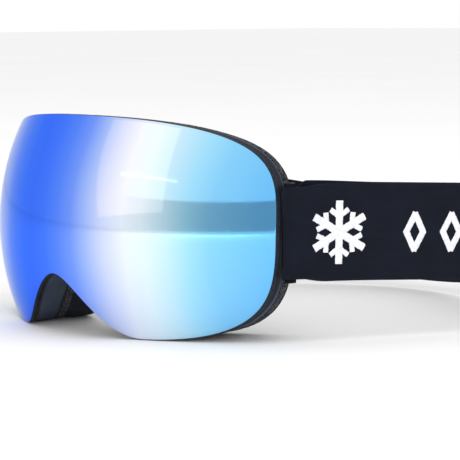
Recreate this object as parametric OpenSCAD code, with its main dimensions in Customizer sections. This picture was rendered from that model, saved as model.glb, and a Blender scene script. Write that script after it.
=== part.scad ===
// Frameless ski goggles with a magnetic lens and a two-slider elastic strap.
// The wearer looks along -Y, +Z is up and +X is the wearer's left.
// The origin is the middle of the face opening, level with the back of the foam.
// All sizes are in millimetres.

/* [Lens] */
// Width of the lens, temple to temple
lens_w = 174; // [164:1:182]
// Height of the lens's top edge above the eye line
lens_top = 50.7; // [46:0.1:56]
// Depth of the lens's lowest edge below the eye line
lens_bottom = 41; // [37:0.5:45]
// Radius of the lens's outer sphere
lens_r = 104; // [98:1:140]
// Distance from the face plane to the front of the lens
lens_front = 40; // [38:0.5:46]
// Height at which the lens is widest
wide_z = 1.3; // [-4:0.1:6]
// Half the distance between the lens's two lowest points
lobe_x = 38.5; // [34:0.5:46]
// Depth of the nose notch's top below the eye line
nose_z = 15.5; // [12:0.5:20]
// Thickness of the outer lens
lens_t = 1.2; // [0.8:0.1:2]
// Thickness of the inner lens
inner_t = 0.8; // [0.5:0.1:1.2]
// Thickness of the foam spacer between the two lenses
spacer_t = 3.2; // [2.6:0.1:4]
// Thickness of the moulded ring behind the lens edge
carrier_t = 1; // [0.8:0.1:1.4]
// Gap between the lens assembly and the frame
parting_gap = 0.4; // [0.3:0.05:0.6]

/* [Frame] */
// Width of the frame's ring at the brow
ring_top = 12; // [10:0.5:14]
// Width of the frame's ring at the temple
ring_side = 12.5; // [11:0.5:14]
// Width of the frame's ring below the eyes
ring_lobe = 11.5; // [10:0.5:13]
// Width of the frame's ring at the nose
ring_nose = 10.5; // [9.5:0.5:12]
// Depth of the hard rim that the lens seats on
rim_t = 1.2; // [0.8:0.1:1.5]
// Distance from the lens's front to the foam's seat, at the middle
seat_depth = 16.2; // [15.5:0.1:19]
// Radius of the foam's seat
seat_r = 118; // [112:1:128]
// Thickness of the flange that carries the foam
flange_t = 1.2; // [0.8:0.1:1.6]
// Width of one vent slot
vent_w = 7.5; // [5:0.5:9]

/* [Foam] */
// Radius of the face, seen from above
face_r = 85; // [80:1:110]
// Thickness of the coarse foam next to the frame
base_t = 4.2; // [3:0.1:6]
// Inset of the coarse foam's back from the lens edge at the brow
back_in_top = 2.2; // [1:0.1:4]
// Inset of the coarse foam's back from the lens edge at the temple
back_in_side = 1.8; // [1:0.1:4]
// Inset of the coarse foam's back from the lens edge below the eyes
back_in_lobe = 0.6; // [0.2:0.1:3]
// Inset of the foam's face edge from the lens edge at the brow
face_in_top = 5; // [3:0.5:8]
// Inset of the foam's face edge from the lens edge at the temple
face_in_side = 18; // [15:0.5:21]
// Inset of the foam's face edge from the lens edge below the eyes
face_in_lobe = 0.5; // [0:0.5:6]
// How much nearer the nose the foam's lowest points lie at the face
face_in_toe = 3; // [0:0.5:5]
// Width of the foam where it meets the face
face_w = 13; // [11:0.5:15]

/* [Magnets] */
// Diameter of each magnet
magnet_d = 4.6; // [3.6:0.1:5]
// Thickness of each magnet
magnet_t = 1.2; // [0.8:0.1:1.4]

/* [Strap] */
// Width of the elastic strap
strap_w = 40; // [36:1:42]
// Width of the strap where it folds round the pin
fold_w = 37.5; // [34:0.5:38]
// Thickness of the strap
strap_t = 1.4; // [1:0.1:1.8]
// Height of the strap's middle at the frame
strap_z = 3.7; // [2:0.1:6]
// Diameter of the steel pin that the strap folds round
pin_d = 2.4; // [2:0.1:3]
// Angle at which the strap leaves the frame, outward from straight back
leave_angle = 20; // [15:1:24]
// Length of the strap's flat stretch beside the head
side_run = 80; // [78:1:100]
// Radius of the strap's bend behind the ear
ear_r = 45; // [40:1:60]
// Length of the strap's flat stretch that the slider runs on
slide_run = 64; // [62:1:80]
// Lift of the strap's inner layer near the pin, where it shows above the outer one
fold_lift = 1.2; // [0.6:0.1:1.5]
// Lift of the strap's inner layer at the slider
layer_lift = 0.3; // [0:0.1:1]

/* [Slider] */
// Length of the slider along the strap
slider_l = 24; // [20:1:26]
// Thickness of the slider's side rails
rail_t = 2.5; // [2:0.1:4]
// Diameter of the slider's middle bar
bar_d = 2.6; // [2:0.1:3]
// Distance that the slider travels from its loosest setting
slider_travel = 26; // [15:1:26]

/* [Hidden] */

glue = 0.1;                       // gap of a glued or sewn joint
slip = 0.3;                       // clearance between pieces that move past each other
fine = 96;                        // facets on small round pieces
ball_fine = 180;                  // facets on the lens spheres

lens_cy = lens_r - lens_front;    // the lens sphere's centre, along Y
bond_r = lens_r - lens_t - glue;  // back of the outer lens, where the carrier is bonded
inner_r = lens_r - lens_t - spacer_t;
seat_cy = seat_depth - lens_front + seat_r;
brow_lean = 210;                  // radius at which the face curves back above and below the eyes

// ---- Outlines -------------------------------------------------------------
// Each half outline is three cubic curves: brow to temple, temple to cheek, cheek to nose.
brow_pull = 0.91;                 // handle lengths, as a part of the span that they bend
temple_pull_up = 0.72;
temple_pull_down = 0.82;
cheek_pull_out = 0.68;
cheek_pull_in = 0.4;
nose_pull = 0.3;
brow_steps = 20;
temple_steps = 15;
nose_steps = 13;
half_steps = brow_steps + temple_steps + nose_steps;

function cubic(a, b, c, d, t) =
    a * pow(1 - t, 3) + 3 * b * pow(1 - t, 2) * t + 3 * c * (1 - t) * t * t + d * pow(t, 3);

function curve(a, b, c, d, steps) = [for (i = [0:steps - 1]) cubic(a, b, c, d, i / steps)];

function half_outline(w, top, lobe, bottom, nose) = concat(
    curve([0, top], [brow_pull * w, top], [w, wide_z + temple_pull_up * (top - wide_z)],
          [w, wide_z], brow_steps),
    curve([w, wide_z], [w, wide_z - temple_pull_down * (wide_z + bottom)],
          [lobe + cheek_pull_out * (w - lobe), -bottom], [lobe, -bottom], temple_steps),
    curve([lobe, -bottom], [lobe * (1 - cheek_pull_in), -bottom], [lobe * nose_pull, -nose],
          [0, -nose], nose_steps),
    [[0, -nose]]);

// An outline that lies inside the lens edge by the four given widths, with its lowest points
// moved outward by a shift.
function inset(top, side, lobe, nose, shift) =
    let (half = half_outline(lens_w / 2 - side, lens_top - top, lobe_x + shift,
                             lens_bottom - lobe, nose_z - nose))
    concat(half, [for (i = [half_steps - 1:-1:1]) [-half[i][0], half[i][1]]]);

function mix(a, b, k) = [for (i = [0:len(a) - 1]) a[i] * (1 - k) + b[i] * k];

edge = inset(0, 0, 0, 0, 0);
opening = inset(ring_top, ring_side, ring_lobe, ring_nose, ring_lobe / 3);
back_edge = inset(back_in_top, back_in_side, back_in_lobe, 0, 0);
seat_edge = mix(edge, back_edge, 0.5);
face_edge = inset(face_in_top, face_in_side, face_in_lobe, 0, -face_in_toe);
face_opening = inset(face_in_top + face_w, face_in_side + face_w, face_in_lobe + face_w,
                     0.8 * face_w, face_w / 3 - face_in_toe);

// ---- Rails: closed lines round the goggles -----------------------------------
// k is 0 at the lens edge and 1 at the opening's edge.
function ball_y(p, r, cy) = cy - sqrt(r * r - p[0] * p[0] - p[1] * p[1]);
function on_ball(outline, r, cy, back) =
    [for (p = outline) [p[0], ball_y(p, r, cy) + back, p[1]]];
function behind_lens(k, back) = on_ball(mix(edge, opening, k), bond_r, lens_cy, back);
function on_seat(k, back) = on_ball(mix(seat_edge, opening, k), seat_r, seat_cy, back);
function on_back(k, back) = on_ball(mix(back_edge, opening, k), seat_r, seat_cy, back);
function face_y(p) = face_r - sqrt(face_r * face_r - p[0] * p[0]) + p[1] * p[1] / (2 * brow_lean);
function on_face(k, back) =
    [for (p = mix(face_edge, face_opening, k)) [p[0], face_y(p) + back, p[1]]];

// A closed ring whose cross-section runs through the given rails in order.
module ring(rails) {
    m = len(rails);
    n = len(rails[0]);
    polyhedron(points = [for (r = rails) each r],
               faces = [for (j = [0:m - 1]) for (i = [0:n - 1])
                   let (a = j * n + i, b = j * n + (i + 1) % n,
                        c = ((j + 1) % m) * n + (i + 1) % n, d = ((j + 1) % m) * n + i)
                   each [[a, c, b], [a, d, c]]]);
}

// A bar with flat ends whose corners run along the given rails in order.
module bar_along(rails) {
    m = len(rails);
    n = len(rails[0]);
    polyhedron(points = [for (r = rails) each r],
               faces = concat(
                   [for (j = [0:m - 1]) for (i = [0:n - 2])
                       let (a = j * n + i, b = a + 1,
                            d = ((j + 1) % m) * n + i, c = d + 1)
                       each [[a, c, b], [a, d, c]]],
                   [[for (j = [m - 1:-1:0]) j * n]],
                   [[for (j = [0:m - 1]) j * n + n - 1]]));
}

function part_of(rail, from, to) =
    let (n = len(rail)) [for (i = [from:to]) rail[(i + n) % n]];

module both_sides() {
    children();
    mirror([1, 0, 0]) children();
}

// ---- Lens assembly ------------------------------------------------------------
module lens_shell(r, t, k) {
    intersection() {
        translate([0, lens_cy, 0]) difference() {
            sphere(r, $fn = ball_fine);
            sphere(r - t, $fn = ball_fine);
        }
        translate([0, lens_cy / 2, 0]) rotate([90, 0, 0])
            linear_extrude(lens_cy / 2 + lens_front + 2) polygon(mix(edge, opening, k));
    }
}

carrier_in = 0.58;                // the carrier's inner edge
inner_lens_k = 0.78;              // the inner lens's edge
gasket_k = 0.84;                  // the spacer's outer edge
gasket_w = 0.12;

module outer_lens() color([0.15, 0.38, 1]) lens_shell(lens_r, lens_t, 0);

module inner_lens() color([0.55, 0.6, 0.65]) lens_shell(inner_r, inner_t, inner_lens_k);

module lens_gasket() color([0.08, 0.08, 0.09]) {
    front_r = lens_r - lens_t - glue;
    back_r = inner_r + glue;
    near = mix(edge, opening, gasket_k);
    far = mix(edge, opening, gasket_k + gasket_w);
    ring([on_ball(near, front_r, lens_cy, 0), on_ball(near, back_r, lens_cy, 0),
          on_ball(far, back_r, lens_cy, 0), on_ball(far, front_r, lens_cy, 0)]);
}

module lens_carrier() color([0.07, 0.07, 0.08])
    ring([behind_lens(0.01, 0), behind_lens(0.01, carrier_t), behind_lens(0.25, carrier_t),
          behind_lens(carrier_in, carrier_t), behind_lens(carrier_in, 0), behind_lens(0.25, 0)]);

// ---- Magnets and their seats --------------------------------------------------
magnet_k = 0.36;                  // how far in from the lens edge the magnets lie
magnet_at = [8, 14, 33];          // steps round the outline, from the brow to below the eye
seat_wall = 0.5;                  // wall of the cup that holds a frame magnet
carrier_back = carrier_t + 0.5;   // clear of the carrier's back at its steepest magnet

function magnet_point(i) = behind_lens(magnet_k, 0)[i];
function inward(i) =
    let (d = [0, lens_cy, 0] - magnet_point(i)) d / norm(d);

// Distance from a point to the foam's seat, along a direction.
function to_seat(p, d) =
    let (q = p - [0, seat_cy, 0], b = q * d, c = q * q - seat_r * seat_r)
    -b - sqrt(b * b - c);

// Puts its children at a magnet, with +Z pointing into the frame.
module at_magnet(i) {
    d = inward(i);
    translate(magnet_point(i))
        rotate([0, acos(d[2]), atan2(d[1], d[0])]) children();
}

module at_magnets() {
    both_sides() for (i = magnet_at) at_magnet(i) children();
}

frame_magnet_z = carrier_back + magnet_t + parting_gap;

module lens_magnets() color([0.7, 0.71, 0.73])
    at_magnets() translate([0, 0, carrier_back]) cylinder(magnet_t, d = magnet_d, $fn = fine);

module frame_magnets() color([0.7, 0.71, 0.73])
    at_magnets() translate([0, 0, frame_magnet_z]) cylinder(magnet_t, d = magnet_d, $fn = fine);

// A cup under each frame magnet, whose foot is cut to the curve of the foam's seat.
module magnet_seats() color([0.09, 0.09, 0.1])
    both_sides() difference() {
        for (i = magnet_at) at_magnet(i) {
            cup_r = magnet_d / 2 + seat_wall;
            foot_z = to_seat(magnet_point(i), inward(i)) + cup_r * tan(acos(inward(i)[1]));
            floor_z = frame_magnet_z + magnet_t + glue / 2;
            difference() {
                translate([0, 0, frame_magnet_z + 0.2])
                    cylinder(foot_z - frame_magnet_z - 0.2, r = cup_r, $fn = fine);
                translate([0, 0, frame_magnet_z - 1])
                    cylinder(floor_z - frame_magnet_z + 1, d = magnet_d + glue, $fn = fine);
            }
        }
        translate([0, seat_cy, 0]) sphere(seat_r + glue / 2, $fn = ball_fine);
    }

// ---- Strap anchors ------------------------------------------------------------
leave_dir = [sin(leave_angle), cos(leave_angle)];
leave_out = [cos(leave_angle), -sin(leave_angle)];
pin_x = lens_w / 2 + 1.8;
pin_y = ball_y([lens_w / 2, strap_z], lens_r, lens_cy) + 6;
pin_p = [pin_x, pin_y];
fold_r = pin_d / 2 + 0.15 + strap_t / 2;    // middle of the strap's thickness round the pin
lug_t = 1.2;                                // height of each lug
lug_r = pin_d / 2 + 0.8;
plate_t = 1.2;                              // bridge between the lugs, behind the strap's fold
plate_x = pin_x - 3.5;
plate_y = pin_y + 2;
plate_l = ball_y([plate_x, strap_z], seat_r, seat_cy) + flange_t + base_t - plate_y;
lug_low = strap_z - fold_w / 2 - slip - lug_t;
lug_high = strap_z + fold_w / 2 + slip;

module left_anchor() {
    difference() {
        union() {
            translate([plate_x, plate_y, lug_low]) cube([plate_t, plate_l, lug_high + lug_t - lug_low]);
            for (z = [lug_low, lug_high]) translate([0, 0, z]) linear_extrude(lug_t) {
                translate(pin_p) circle(lug_r, $fn = fine);
                polygon([[plate_x, plate_y], pin_p + [-lug_r, 0], pin_p + [lug_r, 0],
                         [pin_x + lug_r * 0.7, pin_y + 2.4], [plate_x + plate_t, plate_y + plate_l],
                         [plate_x, plate_y + plate_l]]);
            }
        }
        translate([pin_x, pin_y, lug_low - 1])
            cylinder(lug_high - lug_low + lug_t + 2, d = pin_d + 0.08, $fn = fine);
    }
}

module left_pin()
    translate([pin_x, pin_y, lug_low + 0.2])
        cylinder(lug_high - lug_low + lug_t - 0.4, d = pin_d, $fn = fine);

// The notch that the anchor and the strap's fold sit in.
module anchor_notch() {
    both_sides()
        translate([plate_x - slip, pin_y - lug_r - slip, lug_low - slip])
            cube([20, plate_y + plate_l - pin_y + lug_r + 2 * slip, lug_high - lug_low + lug_t + 2 * slip]);
}

module left_strap_anchor() color([0.1, 0.1, 0.11]) left_anchor();
module right_strap_anchor() color([0.1, 0.1, 0.11]) mirror([1, 0, 0]) left_anchor();
module left_anchor_pin() color([0.14, 0.14, 0.15]) left_pin();
module right_anchor_pin() color([0.14, 0.14, 0.15]) mirror([1, 0, 0]) left_pin();

// ---- Frame --------------------------------------------------------------------
rim_back = carrier_t + parting_gap;
wall_front = rim_back + rim_t + glue;
wall_in = 0.12;                   // the wall's inner face

module frame_rim() color([0.1, 0.1, 0.11]) difference() {
    ring([behind_lens(0.01, rim_back), behind_lens(0, rim_back + rim_t),
          behind_lens(wall_in, rim_back + rim_t), behind_lens(wall_in, rim_back)]);
    anchor_notch();
}

top_vent_x = [-18, -6, 6, 18];
low_vent_x = [57, 67];
low_vent = [low_vent_x[1], -lens_bottom + 5];
low_wall = ball_y(low_vent, seat_r, seat_cy) - ball_y(low_vent, bond_r, lens_cy) - wall_front;
vent_start = 0.19 * low_wall;     // the wall that stays in front of a vent slot
vent_l = 0.57 * low_wall;         // length of a vent slot, front to back

// A slot that runs along the lens edge, cut down from above or up from below.
module vent_cutter(x, z) {
    turn = asin(x / bond_r);
    translate([x, ball_y([x, z], bond_r, lens_cy), z > 0 ? z - 8 : z - 14])
        rotate(turn) translate([-vent_w / 2, wall_front / cos(turn) + vent_start, 0])
            cube([vent_w, vent_l, 22]);
}

// The stretch of outline, in steps, that passes the strap's anchor.
notch_from = 13;
notch_to = 26;
liner_in = 0.25;                  // inner face of the wall's web behind the anchor

module notch_web() {
    front = behind_lens(wall_in - 0.03, wall_front + 0.3);
    front_in = behind_lens(liner_in, wall_front + 0.3);
    back = on_seat(wall_in - 0.03, -2 * glue);
    back_in = on_seat(liner_in, -2 * glue);
    bar_along([part_of(front, notch_from, notch_to), part_of(back, notch_from, notch_to),
               part_of(back_in, notch_from, notch_to), part_of(front_in, notch_from, notch_to)]);
}

module frame_wall() color([0.16, 0.16, 0.18]) difference() {
    union() {
        ring([behind_lens(0, wall_front), mix(behind_lens(-0.02, wall_front), on_seat(0, 0), 0.5),
              on_seat(0, -glue), on_seat(wall_in, -glue),
              mix(behind_lens(wall_in, wall_front), on_seat(wall_in, -glue), 0.5),
              behind_lens(wall_in, wall_front)]);
        both_sides() notch_web();
    }
    anchor_notch();
    for (x = top_vent_x) vent_cutter(x, lens_top - 2);
    both_sides() for (x = low_vent_x) vent_cutter(x, -lens_bottom + 5);
}

module face_flange() color([0.13, 0.13, 0.15]) difference() {
    ring([on_seat(0, 0), on_seat(0, flange_t), on_seat(0.4, flange_t),
          on_seat(0.92, flange_t), on_seat(0.92, 0), on_seat(0.4, 0)]);
    anchor_notch();
}

// Strips of open foam that keep snow out of the vents.
vent_foam_t = 0.2;
module vent_strip(from, to) {
    front = behind_lens(wall_in + 0.02, wall_front + 0.5);
    front_in = behind_lens(wall_in + vent_foam_t, wall_front + 0.5);
    back = on_seat(wall_in + 0.02, -2 * glue);
    back_in = on_seat(wall_in + vent_foam_t, -2 * glue);
    bar_along([part_of(front, from, to), part_of(back, from, to),
               part_of(back_in, from, to), part_of(front_in, from, to)]);
}

module top_vent_foam() color([0.05, 0.05, 0.06]) vent_strip(-6, 6);
module left_vent_foam() color([0.05, 0.05, 0.06]) vent_strip(28, 32);
module right_vent_foam() color([0.05, 0.05, 0.06]) mirror([1, 0, 0]) vent_strip(28, 32);

// ---- Face foam ----------------------------------------------------------------
base_front = flange_t + glue;
base_back = base_front + base_t;
foam_start = base_back + glue;
foam_out = [on_back(0.01, foam_start), on_face(0, -1.5)];
foam_in = [on_back(1, foam_start), on_face(1, -1.5)];
fleece_from = 0.86;               // part of the way to the face where the fleece begins
fleece_gap = 0.02;
bulge = 1.02;                     // the foam's sides swell a little half way

function foam_side(pair, k, swell) =
    [for (p = mix(pair[0], pair[1], k)) [p[0] * swell, p[1], p[2] * swell]];

module foam_base() color([0.06, 0.06, 0.07]) difference() {
    ring([on_seat(0.01, base_front), mix(on_seat(0, base_front), on_back(0, base_back), 0.5),
          on_back(0, base_back), on_back(0.5, base_back), on_seat(1, base_back),
          on_seat(0.95, base_front), on_seat(0.45, base_front)]);
    anchor_notch();
}

module foam_mid() color([0.05, 0.05, 0.06])
    ring([foam_side(foam_out, 0, 1), foam_side(foam_out, 0.4, bulge),
          foam_side(foam_out, fleece_from - fleece_gap, 1),
          foam_side(foam_in, fleece_from - fleece_gap, 1), foam_side(foam_in, 0.4, 1),
          foam_side(foam_in, 0, 1), on_back(0.5, foam_start)]);

module fleece_liner() color([0.03, 0.03, 0.04])
    ring([foam_side(foam_out, fleece_from, 1), on_face(0, -1.5), on_face(0.12, 0), on_face(0.5, 0),
          on_face(0.88, 0), on_face(1, -1.5), foam_side(foam_in, fleece_from, 1)]);

// ---- Strap route --------------------------------------------------------------
// The left half, from the pin to the middle of the back of the head.
ear_turn = 80;
rear_angle = leave_angle - ear_turn;            // heading of the slider's run
rear_turn = 90 + rear_angle;
ear_len = ear_r * ear_turn * PI / 180;
s_ear = side_run;
s_slide = s_ear + ear_len;
s_rear = s_slide + slide_run;
route_start = pin_p + fold_r * leave_out;

function heading(a) = [sin(a), cos(a)];
function outward(a) = [cos(a), -sin(a)];
ear_p = route_start + side_run * heading(leave_angle);
slide_p = ear_p - ear_r * outward(leave_angle) + ear_r * outward(rear_angle);
rear_p = slide_p + slide_run * heading(rear_angle);
rear_r = rear_p[0] / outward(rear_angle)[0];    // the last bend ends on the middle plane
rear_len = rear_r * rear_turn * PI / 180;
s_end = s_rear + rear_len;

function angle_at(s) =
    s < s_ear ? leave_angle
    : s < s_slide ? leave_angle - (s - s_ear) / ear_r * 180 / PI
    : s < s_rear ? rear_angle
    : rear_angle - (s - s_rear) / rear_r * 180 / PI;

function plan_at(s) =
    s < s_ear ? route_start + s * heading(leave_angle)
    : s < s_slide ? ear_p + ear_r * (outward(angle_at(s)) - outward(leave_angle))
    : s < s_rear ? slide_p + (s - s_slide) * heading(rear_angle)
    : rear_p + rear_r * (outward(angle_at(s)) - outward(rear_angle));

// The strap hangs a little lower towards the back.
side_fall = 0.042;
slide_fall = 0.14;
level_run = 40;                   // the fall begins over this length, so the fold stays level
function ramp(s, from, to) = max(0, min(1, (s - from) / (to - from)));
function fall_at(s) =
    side_fall * ramp(s, 0, level_run) + (slide_fall - side_fall) * ramp(s, s_ear, s_slide)
    - slide_fall * ramp(s, s_rear, s_end);
function drop_at(s) =
    side_fall * (s < level_run ? s * s / (2 * level_run) : s - level_run / 2)
    + (slide_fall - side_fall) * (ramp(s, s_ear, s_slide) * (ramp(s, s_ear, s_slide) * ear_len) / 2
                                  + max(0, s - s_slide))
    - slide_fall * pow(ramp(s, s_rear, s_end), 2) * rear_len / 2;

// A station is [middle, outward, up, back] at a distance along the route.
function station(s) =
    let (p = plan_at(s), n = outward(angle_at(s)), h = heading(angle_at(s)), f = fall_at(s),
         t = [h[0], h[1], -f] / norm([1, f]), o = [n[0], n[1], 0])
    [[p[0], p[1], strap_z - drop_at(s)], o, cross(o, t), t];

function place(st, out, up) = st[0] + st[1] * out + st[2] * up;
function flip_x(p) = [-p[0], p[1], p[2]];

// Distances along the route at which stations stand.
rear_steps = 12;
function steps(from, to, count) = [for (i = [0:count - 1]) from + (to - from) * i / count];
outer_stops = concat(steps(0, s_ear, 10), steps(s_ear, s_slide, 12), steps(s_slide, s_rear, 8),
                     steps(s_rear, s_end, rear_steps), [s_end]);

// The fold round the pin, from its inner side to its outer side.
fold_steps = 8;
function fold_station(i) =
    let (a = 180 * (1 - i / fold_steps), n = cos(a) * leave_out - sin(a) * leave_dir)
    [[pin_p[0] + fold_r * n[0], pin_p[1] + fold_r * n[1], strap_z], [n[0], n[1], 0], [0, 0, 1], 0];
fold = [for (i = [0:fold_steps - 1]) fold_station(i)];

function width_at(s) = fold_w + (strap_w - fold_w) * sin(90 * ramp(s, 6, 16));

function band_corner(out, side) = concat(
    [for (st = fold) place(st, out, side * fold_w / 2)],
    [for (s = outer_stops) place(station(s), out, side * width_at(s) / 2)]);

function whole(rail) = concat(rail, [for (i = [len(rail) - 2:-1:0]) flip_x(rail[i])]);

module strap_band() color([0.06, 0.07, 0.11])
    bar_along([whole(band_corner(strap_t / 2, 1)), whole(band_corner(strap_t / 2, -1)),
               whole(band_corner(-strap_t / 2, -1)), whole(band_corner(-strap_t / 2, 1))]);

// ---- Inner layer and end loop ---------------------------------------------------
layer_gap = 0.5;
slider_s = s_slide + slider_l / 2 + 4;          // the slider's middle at its loosest setting
bar_r = bar_d / 2;
loop_r = bar_r + 0.15 + strap_t / 2;            // middle of the strap's thickness round the bar
layer_out = -(strap_t + layer_gap);
bar_out = layer_out - loop_r;
loop_front = slider_s - slider_l / 2 - 2;
return_end = loop_front;
converge = 25;

function smooth(k) = k * k * (3 - 2 * k);
function layer_at(s) = -2 * fold_r + (layer_out + 2 * fold_r) * smooth(ramp(s, 0, converge));

// Clear of the lugs, the inner layer takes its full width and rises above the outer one.
lug_clear = 4;
full_width = 8;
function layer_rise(s) = smooth(ramp(s, lug_clear, full_width));
function layer_width(s) = fold_w + (strap_w - fold_w) * layer_rise(s);
function lift_at(s) =
    layer_rise(s) * (fold_lift + (layer_lift - fold_lift) * smooth(ramp(s, full_width, level_run)));
return_stops = concat([0], steps(lug_clear, converge, 6), steps(converge, s_ear, 6), steps(s_ear, s_slide, 12),
                      steps(s_slide, return_end, 2), [return_end]);

function return_corner(out, side) =
    [for (s = return_stops)
        place(station(s), layer_at(s) + out, side * layer_width(s) / 2 + lift_at(s))];

module left_return()
    bar_along([return_corner(strap_t / 2, 1), return_corner(strap_t / 2, -1),
               return_corner(-strap_t / 2, -1), return_corner(-strap_t / 2, 1)]);

module left_strap_return() color([0.06, 0.07, 0.11]) left_return();
module right_strap_return() color([0.06, 0.07, 0.11]) mirror([1, 0, 0]) left_return();

// Stands its children on the strap: +X points forward along it, +Y outward and +Z up.
module on_strap(s) {
    st = station(s);
    f = -st[3];
    multmatrix([[f[0], st[1][0], st[2][0], st[0][0]],
                [f[1], st[1][1], st[2][1], st[0][1]],
                [f[2], st[1][2], st[2][2], st[0][2]],
                [0, 0, 0, 1]]) children();
}

// The strap's end, folded round the slider's bar and sewn to itself.
module left_loop() {
    lead = slider_s - loop_front - glue;
    tail = lead - 1;
    sewn = layer_out - strap_t - glue;
    inner = bar_out - loop_r;
    arc = [for (a = [-90:15:90]) [-cos(a) * loop_r, -sin(a) * loop_r + bar_out]];
    line = concat([[lead, layer_out]], [[8, layer_out]],
                  [for (i = [len(arc) - 1:-1:0]) [arc[i][0], 2 * bar_out - arc[i][1]]],
                  [[3, inner + 0.3], [7, sewn - 0.6], [9, sewn], [tail, sewn]]);
    normals = [for (i = [0:len(line) - 1])
        let (d = line[min(i + 1, len(line) - 1)] - line[max(i - 1, 0)], u = d / norm(d)) [u[1], -u[0]]];
    half = strap_t / 2 - 0.01;
    on_strap(slider_s) translate([0, 0, layer_lift - strap_w / 2]) linear_extrude(strap_w)
        polygon(concat([for (i = [0:len(line) - 1]) line[i] + normals[i] * half],
                       [for (i = [len(line) - 1:-1:0]) line[i] - normals[i] * half]));
}

module left_end_loop() color([0.06, 0.07, 0.11]) left_loop();
module right_end_loop() color([0.06, 0.07, 0.11]) mirror([1, 0, 0]) left_loop();

// ---- Slider -------------------------------------------------------------------
rail_in = strap_w / 2 + layer_lift + slip + 0.3;
end_bar_l = 3.5;
end_bar_t = 2;
end_bar_out = strap_t / 2 + 0.4;
rail_out = end_bar_out + end_bar_t;
rail_deep = bar_out - bar_r - 0.4;

module left_slider_body() {
    on_strap(slider_s) {
        for (side = [1, -1])
            translate([-slider_l / 2, rail_deep, side > 0 ? rail_in : -rail_in - rail_t])
                cube([slider_l, rail_out - rail_deep, rail_t]);
        for (end = [1, -1])
            translate([end > 0 ? slider_l / 2 - end_bar_l : -slider_l / 2, end_bar_out, -rail_in - 0.5])
                cube([end_bar_l, end_bar_t, 2 * rail_in + 1]);
        translate([0, bar_out, -rail_in - 0.5]) cylinder(2 * rail_in + 1, d = bar_d, $fn = fine);
    }
}

module left_slider() color([0.05, 0.05, 0.06]) left_slider_body();
module right_slider() color([0.05, 0.05, 0.06]) mirror([1, 0, 0]) left_slider_body();

// ---- Grip lines ---------------------------------------------------------------
grip_w = 2;
grip_t = 0.8;
grip_pitch = 11;
grip_stops = concat(steps(s_rear, s_end, rear_steps), [s_end]);
function grip_corner(row, out, side) = whole(
    [for (s = grip_stops)
        place(station(s), -strap_t / 2 - glue - out, row * grip_pitch + side * grip_w / 2)]);

module grip_lines() color([0.75, 0.77, 0.8])
    for (row = [-1, 0, 1])
        bar_along([grip_corner(row, 0, 1), grip_corner(row, 0, -1),
                   grip_corner(row, grip_t, -0.5), grip_corner(row, grip_t, 0.5)]);

// ---- Embroidery ---------------------------------------------------------------
stitch_t = 0.6;
crystal_s = 21;
crystal_r = 13;
arm_w = 3.4;
diamond_s = [55.5, 72.5];
diamond_w = 11;
diamond_h = 21;
diamond_line = 2.9;
diamond_reach = diamond_w * diamond_h / 2 / norm([diamond_w, diamond_h]);  // centre to side

module crystal() {
    for (a = [0:60:300]) rotate(a) {
        translate([-arm_w / 2, 0]) square([arm_w, crystal_r]);
        for (side = [1, -1]) translate([0, crystal_r * 0.5]) rotate(side * 55)
            translate([-arm_w * 0.35, 0]) square([arm_w * 0.7, crystal_r * 0.38]);
    }
}

module diamond() {
    difference() {
        polygon([[0, diamond_h / 2], [diamond_w / 2, 0], [0, -diamond_h / 2], [-diamond_w / 2, 0]]);
        scale(1 - diamond_line / diamond_reach)
            polygon([[0, diamond_h / 2], [diamond_w / 2, 0], [0, -diamond_h / 2], [-diamond_w / 2, 0]]);
    }
}

module on_outer_face(s) {
    on_strap(s) translate([0, strap_t / 2 + glue / 2, 0]) rotate([-90, 0, 0])
        linear_extrude(stitch_t) children();
}

module left_motif() {
    on_outer_face(crystal_s) crystal();
    for (s = diamond_s) on_outer_face(s) diamond();
}

module left_embroidery() color([0.93, 0.93, 0.95]) left_motif();
module right_embroidery() color([0.93, 0.93, 0.95]) mirror([1, 0, 0]) left_motif();

outer_lens();
inner_lens();
lens_gasket();
lens_carrier();
lens_magnets();
frame_rim();
frame_wall();
face_flange();
magnet_seats();
frame_magnets();
top_vent_foam();
left_vent_foam();
right_vent_foam();
foam_base();
foam_mid();
fleece_liner();
left_strap_anchor();
right_strap_anchor();
left_anchor_pin();
right_anchor_pin();
strap_band();
left_strap_return();
right_strap_return();
grip_lines();
left_embroidery();
right_embroidery();
left_slider();
right_slider();
left_end_loop();
right_end_loop();
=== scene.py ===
import math
import random

import bpy
import numpy as np
from mathutils import Matrix, Quaternion, Vector, noise


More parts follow.
